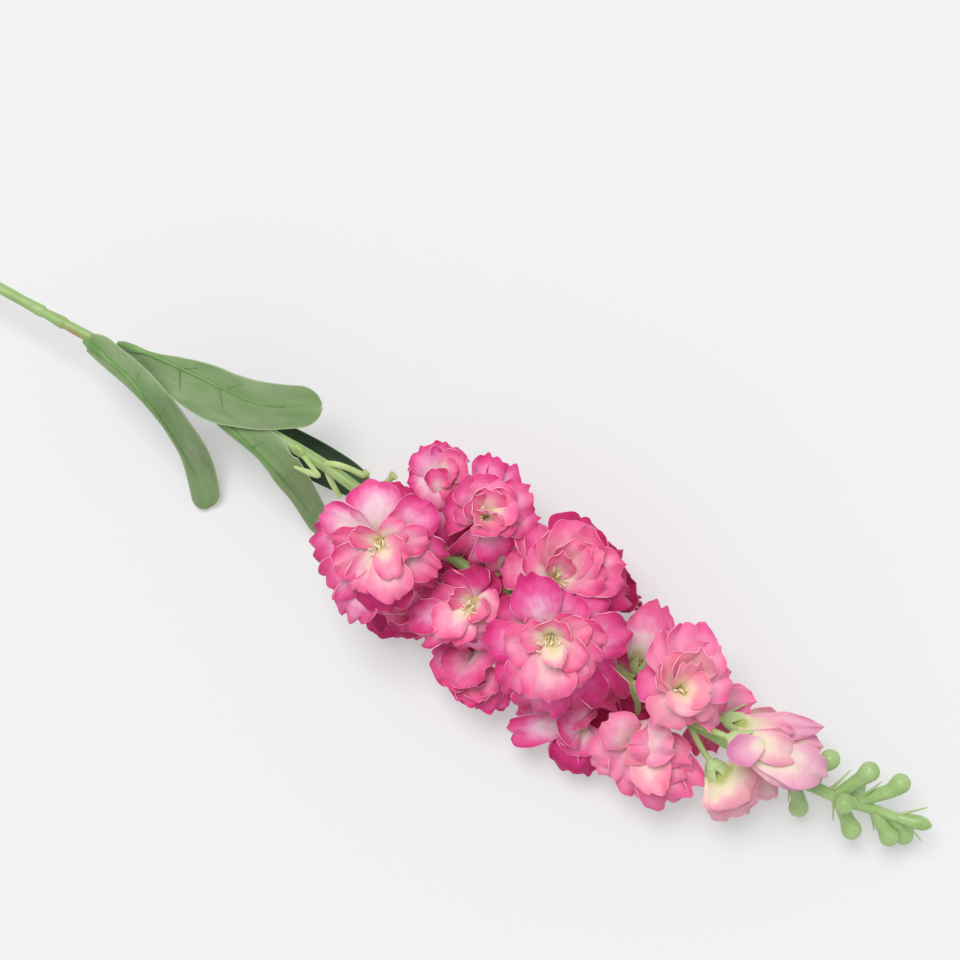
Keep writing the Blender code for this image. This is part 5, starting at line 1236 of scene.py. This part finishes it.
def build_bloom(bloom, settings, materials, slot):
    """One flower: its petals, each a ruffled sheet of cloth, round a moulded peg."""
    cell = bloom_cell(bloom)
    heart = np.asarray(bloom.heart, float)
    facing = unit(bloom.facing)
    rows, columns = settings.petal_rows, settings.petal_columns
    along, across = sheet_places(rows, columns)
    shape = Shape("petal_where", "petal_kind", "cloth_mm", "mould_mm")
    draw = random.Random(bloom.name + " cloth")
    smooth_rim = bloom.openness < RAGGED_OPENNESS
    shows_heart = bloom.openness > HEART_OPENNESS
    claw = CLAW_OPEN if shows_heart else CLAW_CLOSED

    def add_petal(points, share, side, length, width, inner, dye):
        """Adds one petal, with the values that its cloth reads."""
        from_side = (1 - np.abs(across)) * width * petal_width(share, smooth_rim)
        from_end = (1 - along) * length
        where = np.stack((share, across ** 2, np.minimum(from_side, from_end)), axis=1)
        # The third value, the dye offset, is partly painted shade: deeper on low and hidden petals, lighter
        # on the highest
        kind = np.array((inner, draw.uniform(*BRIGHTNESS), dye + draw.uniform(-DYE_SPREAD, DYE_SPREAD)))
        cloth = np.stack((side, share * length, np.full(len(share), 40 * draw.random())), axis=1)
        add_cloth(shape, points, rows, columns, settings.cloth_thickness / MM,
                  (PETAL_FACE, PETAL_FACE, PETAL_EDGE), petal_where=where, petal_kind=kind, cloth_mm=cloth)

    for petal in PETALS.get(bloom.name, ()) + DEEP_PETALS.get(bloom.name, ()):
        cup = 0.16 - 0.5 * petal.arch + draw.uniform(-0.05, 0.09)
        points, share, side, length = petal_surface(
            lambda share: petal_midline(bloom, petal, share), petal.width, smooth_rim, claw, cup, draw,
            along, across)
        points[:, 2] = np.maximum(points[:, 2], CLOTH_CLEARANCE)
        # petal.dye is partly painted shade and light: deeper colour on low petals, lighter on the highest
        # ones
        add_petal(points, share, side, length, petal.width, petal.inner, petal.dye)
    for petal in () if bloom.name in PETALS else ring_petals(bloom, cell):
        curl = draw.uniform(*RING_CURL)
        points, share, side, length = petal_surface(
            lambda share: ring_midline(bloom, petal, share, curl), petal.width, False, CLAW_OPEN, petal.cup,
            draw, along, across)
        points = settle(points, heart, cell, petal.level, petal.margin)
        # The hidden flowers' petals get a deeper colour here: painted shade, since they lie underneath the
        # others
        add_petal(points, share, side, length, petal.width, min(1.0, petal.level / 1.3), HIDDEN_PAINTED_SHADE)
    core = bloom_base(bloom) + facing * GAP
    top = bloom.radius * HEART_HEIGHT * 0.75 if shows_heart else PEG_HEIGHT_CLOSED
    peg = [core, core + facing * top * 0.6, core + facing * top]
    add_tube(shape, peg, PEG_RADII, STALK_SIDES, PETAL_THROAT)
    if shows_heart:
        add_stamens(shape, bloom, core + facing * top * 0.9, cell, draw, settings.stamens)
    piece = shape.make(bloom.name + "_petals", materials)
    return place(piece, slot, bloom.name)


def add_stamens(shape, bloom, foot, cell, draw, count):
    """A bundle of thin threads that leans out of a flower's heart. Each ends in a hook with a small head."""
    facing = unit(bloom.facing)
    right, up = flower_axes(facing)
    bundle = right * draw.uniform(-0.25, 0.25) - up * draw.uniform(0.1, 0.4)
    for index in range(count):
        angle = 2 * math.pi * (index + draw.uniform(-0.3, 0.3)) / max(count, 1)
        outward = right * math.cos(angle) + up * math.sin(angle)
        length = bloom.radius * draw.uniform(0.26, 0.38)
        lean = bundle + draw.uniform(0.12, 0.42) * outward
        hook = 0.16 * length * (outward + draw.uniform(-0.9, 0.9) * np.cross(facing, outward))
        neck = foot + lean * length + facing * length * 0.85
        route = [foot + outward * 0.7, foot + 0.9 * outward + 0.4 * lean * length + facing * length * 0.5,
                 neck, neck + hook - facing * 0.03 * length]
        route = settle(smooth_route(route, 3), np.asarray(bloom.heart, float), cell, 0, 0.8)
        radii = profile_radii(STAMEN_PROFILE, route)
        add_tube(shape, route, radii, STAMEN_SIDES, PETAL_THREAD, draw.random())


class DELPHINIUM_OT_stage(bpy.types.Operator):
    """Adds the pale light table, the soft studio light and the camera"""

    bl_idname = "delphinium.stage"
    bl_label = "Table, light and camera"

    def execute(self, context):
        """Runs from the panel or from main()."""
        settings = context.scene.delphinium
        middle = np.array((*CAMERA_OVER, 0)) + SHIFT
        board = bpy.data.meshes.new("board")
        corners = [((middle[0] + x * TABLE_SIZE / 2) * MM, (middle[1] + y * TABLE_SIZE / 2) * MM, 0.0)
                   for x, y in ((-1, -1), (1, -1), (1, 1), (-1, 1))]
        board.from_pydata(corners, [], [(0, 1, 2, 3)])
        material = light_table("opal_acrylic_matt_lit_below", settings.table_colour, settings.table_glow)
        board.materials.append(material)
        floor = bpy.data.objects.new("board", board)
        context.scene.collection.objects.link(floor)
        self.add_sun(context)
        world = bpy.data.worlds.new("studio")
        world.use_nodes = True
        background = world.node_tree.nodes["Background"]
        background.inputs["Color"].default_value = linear("F8F8F9")
        background.inputs["Strength"].default_value = SURROUND_STRENGTH
        context.scene.world = world
        context.scene.view_settings.view_transform = "Standard"
        self.add_camera(context, middle)
        return {"FINISHED"}

    def add_sun(self, context):
        """A far, wide lamp that stands for the studio's soft box."""
        lamp = bpy.data.lights.new("key_light_soft", "SUN")
        lamp.angle = math.radians(SUN_WIDTH)
        lamp.energy = SUN_STRENGTH
        light = bpy.data.objects.new("key_light_soft", lamp)
        aim = IMAGE_RIGHT * SUN_OFFSET[0] + IMAGE_UP * SUN_OFFSET[1] + np.array((0, 0, SUN_OFFSET[2]))
        light.rotation_mode = "QUATERNION"
        light.rotation_quaternion = Vector(aim).to_track_quat("Z", "Y")
        light.location = [value * MM for value in aim]
        context.scene.collection.objects.link(light)

    def add_camera(self, context, middle):
        """The camera looks straight down, turned so that the stem runs down to the right."""
        lens = bpy.data.cameras.new("photo_camera")
        lens.lens = CAMERA_LENS
        lens.sensor_width = CAMERA_SENSOR
        lens.dof.use_dof = False
        camera = bpy.data.objects.new("photo_camera", lens)
        camera.location = (middle[0] * MM, middle[1] * MM, (middle[2] + CAMERA_HEIGHT) * MM)
        camera.rotation_euler = (0, 0, math.radians(CAMERA_TURN))
        context.scene.collection.objects.link(camera)
        context.scene.camera = camera


class DELPHINIUM_OT_flowers(bpy.types.Operator):
    """Makes every flower, open and half open, of ruffled cloth petals"""

    bl_idname = "delphinium.flowers"
    bl_label = "Flowers"

    def execute(self, context):
        """Runs from the panel or from main()."""
        edge = cut_edge("polyester_petal_cut_edge", CUT_EDGE)
        throat = moulded_plastic("polyethylene_throat_moulded", "E6E2A6", "D6D284", "BEBC68", 0.5)
        thread = moulded_plastic("nylon_stamen_thread", "F8F0D2", "F0E6BC", "E0D296", 0.55)
        deep = petal_cloth("polyester_petal_deep_pink", DEEP_OUTER, DEEP_INNER, CUT_EDGE)
        clear = petal_cloth("polyester_petal_clear_pink", CLEAR_OUTER, CLEAR_INNER, CUT_EDGE)
        pale = petal_cloth("polyester_petal_pale_pink", PALE_OUTER, PALE_INNER, CUT_EDGE)
        for bloom in BLOOMS:
            if is_half_open(bloom):
                cloth, slot = pale, "petal_fabric_pale"
            elif bloom.heart[0] < DEEP_DYE_UP_TO:
                cloth, slot = deep, "petal_fabric_deep_pink"
            else:
                cloth, slot = clear, "petal_fabric_pink"
            build_bloom(bloom, context.scene.delphinium, (cloth, edge, throat, thread), slot)
        return {"FINISHED"}


class DELPHINIUM_OT_stem(bpy.types.Operator):
    """Makes the green moulding: main stem, flower stalks, calyx cups with sepals, bracts and nubs"""

    bl_idname = "delphinium.stem"
    bl_label = "Stem and stalks"

    def execute(self, context):
        """Runs from the panel or from main()."""
        shape = Shape("mould_mm")
        self.add_main_stem(shape)
        for bloom in BLOOMS:
            self.add_stalk(shape, bloom)
        for index, (route, radii) in enumerate(STEM_SHOOTS):
            route = smooth_route(place_route(route), 5)
            add_tube(shape, route, smooth_values(radii, 5), STALK_SIDES, STALK_SLOT, index)
        stem = moulded_plastic("polyethylene_stem_moulded", "AEC487", "97B46F", "7C9B57", 0.42, STEM_STAIN)
        stalk = moulded_plastic("polyethylene_stalk_moulded", "CFD9A4", "B5C983", "93AE5F", 0.45)
        calyx = moulded_plastic("polyethylene_calyx_moulded", "D2E2AE", "BBD492", "A0BF76", 0.45)
        piece = shape.make("stem_moulding", (stem, stalk, calyx), sharp=60)
        place(piece, "stem_plastic", "stem")
        return {"FINISHED"}

    def add_main_stem(self, shape):
        """The stem in rings 1 mm apart, so that its nodes show. It rests on the table and doesn't cut it."""
        length = STEM_ROUTE[-1][0]
        places = np.arange(0, length + 1, 1.0)
        smooth = smooth_route(STEM_ROUTE, 12)
        route = np.stack([np.interp(places, smooth[:, 0], smooth[:, axis]) for axis in range(3)], axis=1)
        radii = stem_radius(places)
        for node in STEM_NODES:
            away = places - node
            swelling = np.where(away < 0, away / NODE_SWELL_LENGTH, away / NODE_END_LENGTH)
            radii *= 1 + (NODE_SWELLING - 1) * np.exp(-swelling ** 2)
            radii *= 1 - GROOVE_DEPTH * np.exp(-((away - GROOVE_AFTER_NODE) / GROOVE_WIDTH) ** 2)
        radii *= 1 + 0.012 * np.sin(places * 0.21) + 0.01 * np.sin(places * 0.57 + 1)
        route[:, 2] = np.maximum(route[:, 2], radii)
        add_tube(shape, route, radii, STEM_SIDES, STEM_SLOT)

    def add_stalk(self, shape, bloom):
        """A flower's stalk, with its calyx cup and the sepals round it."""
        facing = unit(bloom.facing)
        coarse = stalk_route(bloom)
        route = smooth_route(coarse, 6)
        radii = np.linspace(STALK_FOOT_RADIUS, STALK_RADIUS, len(route))
        wide = calyx_radius(bloom)
        heights, swell = zip(CALYX_FOOT, *((height, share * wide) for height, share in CALYX_PROFILE))
        cup = [coarse[-1] + facing * CALYX_HEIGHT * height for height in heights]
        draw = random.Random(bloom.name + " green")
        add_tube(shape, route, radii, STALK_SIDES, STALK_SLOT, draw.random() * 20)
        add_tube(shape, np.vstack((route[-2:], cup)), (STALK_RADIUS, STALK_RADIUS, *swell), CALYX_SIDES,
                 CALYX_SLOT, draw.random() * 20)
        right, up = flower_axes(facing)
        turn = draw.uniform(0, 2 * math.pi)
        for index in range(SEPAL_COUNT):
            angle = turn + 2 * math.pi * index / SEPAL_COUNT
            outward = right * math.cos(angle) + up * math.sin(angle)
            sepals = SEPALS_HALF_OPEN if is_half_open(bloom) else SEPALS_OPEN
            self.add_sepal(shape, cup[3] + outward * wide * 0.8, facing, outward, wide, sepals)

    def add_sepal(self, shape, foot, facing, outward, wide, sepals):
        """A pointed green sepal that stands up round the foot of the petals."""
        rows, columns = 6, 4
        share = np.repeat(np.linspace(0, 1, rows + 1), columns + 1)
        across = np.tile(np.linspace(-1, 1, columns + 1), rows + 1)
        side = across * (0.56 * wide * (1 - share) ** 0.7 * (1 + 0.5 * share) + 0.06)
        rise = sepals.height * wide * share
        spread = 0.45 + sepals.flare * wide * share ** 1.1 - 0.12 * wide * across ** 2
        points = foot + np.outer(rise, facing) + np.outer(spread, outward)
        points = points + np.outer(side, np.cross(facing, outward))
        points[:, 2] = np.maximum(points[:, 2], CLOTH_CLEARANCE)
        mould = np.stack((side, rise, np.full(len(share), 30.0)), axis=1)
        add_cloth(shape, points, rows, columns, SEPAL_THICKNESS, (CALYX_SLOT,) * 3, mould_mm=mould)


class DELPHINIUM_OT_bud_tip(bpy.types.Operator):
    """Makes the unopened end of the spike: drumstick buds, a pointed end bud and needle bracts"""

    bl_idname = "delphinium.bud_tip"
    bl_label = "Bud tip"

    def execute(self, context):
        """Runs from the panel or from main()."""
        shape = Shape("mould_mm")
        axis = smooth_route(BUD_TIP_ROUTE, 5)
        add_tube(shape, axis, np.linspace(*TIP_AXIS_RADII, len(axis)), BUD_SIDES, BUD_SLOT)
        for index, (root, bend, head) in enumerate(np.array(BUDS, float)):
            self.add_bud(shape, root, bend, head, index)
        end = smooth_route(END_BUD, 8)
        add_tube(shape, end, profile_radii(END_BUD_PROFILE, end), BUD_SIDES, BUD_SLOT, 30)
        for index, (start, finish) in enumerate(np.array(TIP_NEEDLES, float)):
            needle = smooth_route((start, (start + finish) / 2 + NEEDLE_BOW, finish), 5)
            radii = np.linspace(*NEEDLE_RADII, len(needle))
            add_tube(shape, needle, radii, NEEDLE_SIDES, NEEDLE_SLOT, 40 + index)
        bud = moulded_plastic("polyethylene_bud_moulded", "B3CC91", "9EBD7A", "84A661", 0.33)
        needle = moulded_plastic("polyethylene_needle_moulded", "C3CFA0", "AFC084", "93A866", 0.5)
        piece = shape.make("bud_tip_moulding", (bud, needle), sharp=60)
        place(piece, "bud_plastic", "bud_tip")
        return {"FINISHED"}

    def add_bud(self, shape, root, bend, head, index):
        """A stout stalk that bends and ends in a round head."""
        ahead = unit(head - bend)
        route = smooth_route((root, root * 0.45 + bend * 0.55, bend, head), 6)
        radii = np.concatenate((profile_radii(BUD_PROFILE, route), BUD_HEAD_RADIUS * np.cos(BUD_DOME)))
        route = np.vstack((route, head + np.outer(BUD_HEAD_RADIUS * np.sin(BUD_DOME), ahead)))
        add_tube(shape, route, radii, BUD_SIDES, BUD_SLOT, 3 * index)


class DELPHINIUM_OT_leaves(bpy.types.Operator):
    """Makes the cloth leaves with their moulded ribs and side veins"""

    bl_idname = "delphinium.leaves"
    bl_label = "Leaves"

    def execute(self, context):
        """Runs from the panel or from main()."""
        settings = context.scene.delphinium
        back = leaf_cloth("polyester_leaf_back_printed", LEAF_BACK_PRINT, 0.62)
        face = leaf_cloth("polyester_leaf_face_printed", LEAF_FACE_PRINT, 0.42)
        edge = cut_edge("polyester_leaf_cut_edge", "B9CAA2")
        rib = moulded_plastic("polyethylene_rib_moulded", "83A863", "6C9450", "587F3F", 0.38)
        dark_rib = moulded_plastic("polyethylene_rib_dark_moulded", "446B41", "33522F", "284328", 0.4)
        for leaf in LEAVES:
            if leaf.name == DARK_LEAF:
                materials, slot = (face, back, edge, dark_rib), "leaf_fabric_face"
            else:
                materials, slot = (back, face, edge, rib), "leaf_fabric_back"
            shape = Shape("leaf_where", "cloth_mm", "mould_mm")
            points = self.add_blade(shape, leaf, settings)
            self.add_side_veins(shape, leaf, points)
            self.add_rib(shape, leaf)
            place(shape.make(leaf.name + "_cloth", materials), slot, leaf.name)
        return {"FINISHED"}

    def add_blade(self, shape, leaf, settings):
        """The blade on its rib, with a slightly uneven edge. Returns the points of its middle surface."""
        rows, columns = settings.leaf_rows, settings.leaf_columns
        along, across = sheet_places(rows, columns)
        points, normal, width, reach = leaf_surface(leaf, along, across)
        ripple = 0.1 * np.abs(across) ** 2 * np.sin(0.5 * reach + 3 * across)
        ripple = ripple + 0.05 * np.abs(across) ** 3 * np.sin(1.7 * reach)
        points = points + normal * ripple[:, None]
        points[:, 2] = np.maximum(points[:, 2], LEAF_THICKNESS / 2)
        side = across * width
        from_edge = np.minimum((1 - np.abs(across)) * width, reach[-1] - reach)
        where = np.stack((np.exp(-np.abs(side) / 2.2), from_edge, np.zeros(len(side))), axis=1)
        cloth = np.stack((side, reach, np.full(len(reach), 10 * leaf.left.widths[3])), axis=1)
        add_cloth(shape, points, rows, columns, settings.leaf_thickness / MM,
                  (LEAF_UP, LEAF_DOWN, LEAF_EDGE), leaf_where=where, cloth_mm=cloth)
        return points

    def add_rib(self, shape, leaf):
        """The moulded rib, which ends before the blade does."""
        route, _ = leaf_route(leaf)
        route = route[:int(len(route) * RIB_SHARE)] + np.array((0, 0, 0.2))
        thickest = max(radius for _, radius in RIB_PROFILE)
        radii = profile_radii(RIB_PROFILE, route)
        add_tube(shape, clear_of_stem(route, thickest + GAP), radii, STALK_SIDES, LEAF_RIB, 5)

    def add_side_veins(self, shape, leaf, points):
        """Thin raised strokes that lie on the blade where the photograph shows them."""
        for start, end in LEAF_VEINS[leaf.name]:
            route = []
            for share in np.linspace(0, 1, 9):
                pixel = (1 - share) * np.array(start) + share * np.array(end)
                seen = place_pixel(pixel, points[:, 2])
                away = np.hypot(points[:, 0] - seen[0], points[:, 1] - seen[1])
                weights = np.exp(-(away / 0.7) ** 2) + 1e-9
                height = np.average(points[:, 2], weights=weights)
                route.append(place_pixel(pixel, height + SIDE_VEIN_LIFT))
            add_tube(shape, route, np.linspace(*SIDE_VEIN_RADII, len(route)), NEEDLE_SIDES, LEAF_RIB, 7)


class DELPHINIUM_PT_panel(bpy.types.Panel):
    """Lists the settings, and the steps in the order in which they are made"""

    bl_idname = "DELPHINIUM_PT_panel"
    bl_label = "Artificial delphinium"
    bl_space_type = "VIEW_3D"
    bl_region_type = "UI"
    bl_category = "Delphinium"

    def draw(self, context):
        """Shows the settings, and a button for each step."""
        for name in DelphiniumSettings.__annotations__:
            self.layout.prop(context.scene.delphinium, name)
        for operator in OPERATORS:
            self.layout.operator(operator.bl_idname)


OPERATORS = (DELPHINIUM_OT_stage, DELPHINIUM_OT_stem, DELPHINIUM_OT_bud_tip, DELPHINIUM_OT_leaves,
             DELPHINIUM_OT_flowers)


def register():
    """Makes the settings, the steps and the panel known to Blender."""
    bpy.utils.register_class(DelphiniumSettings)
    for operator in OPERATORS:
        bpy.utils.register_class(operator)
    bpy.utils.register_class(DELPHINIUM_PT_panel)
    bpy.types.Scene.delphinium = bpy.props.PointerProperty(type=DelphiniumSettings)


def unregister():
    """Takes them away again."""
    del bpy.types.Scene.delphinium
    bpy.utils.unregister_class(DELPHINIUM_PT_panel)
    for operator in reversed(OPERATORS):
        bpy.utils.unregister_class(operator)
    bpy.utils.unregister_class(DelphiniumSettings)


def main():
    """Makes the whole scene."""
    register()
    bpy.ops.delphinium.stage()
    bpy.ops.delphinium.stem()
    bpy.ops.delphinium.bud_tip()
    bpy.ops.delphinium.leaves()
    bpy.ops.delphinium.flowers()


if __name__ == "__main__":
    main()
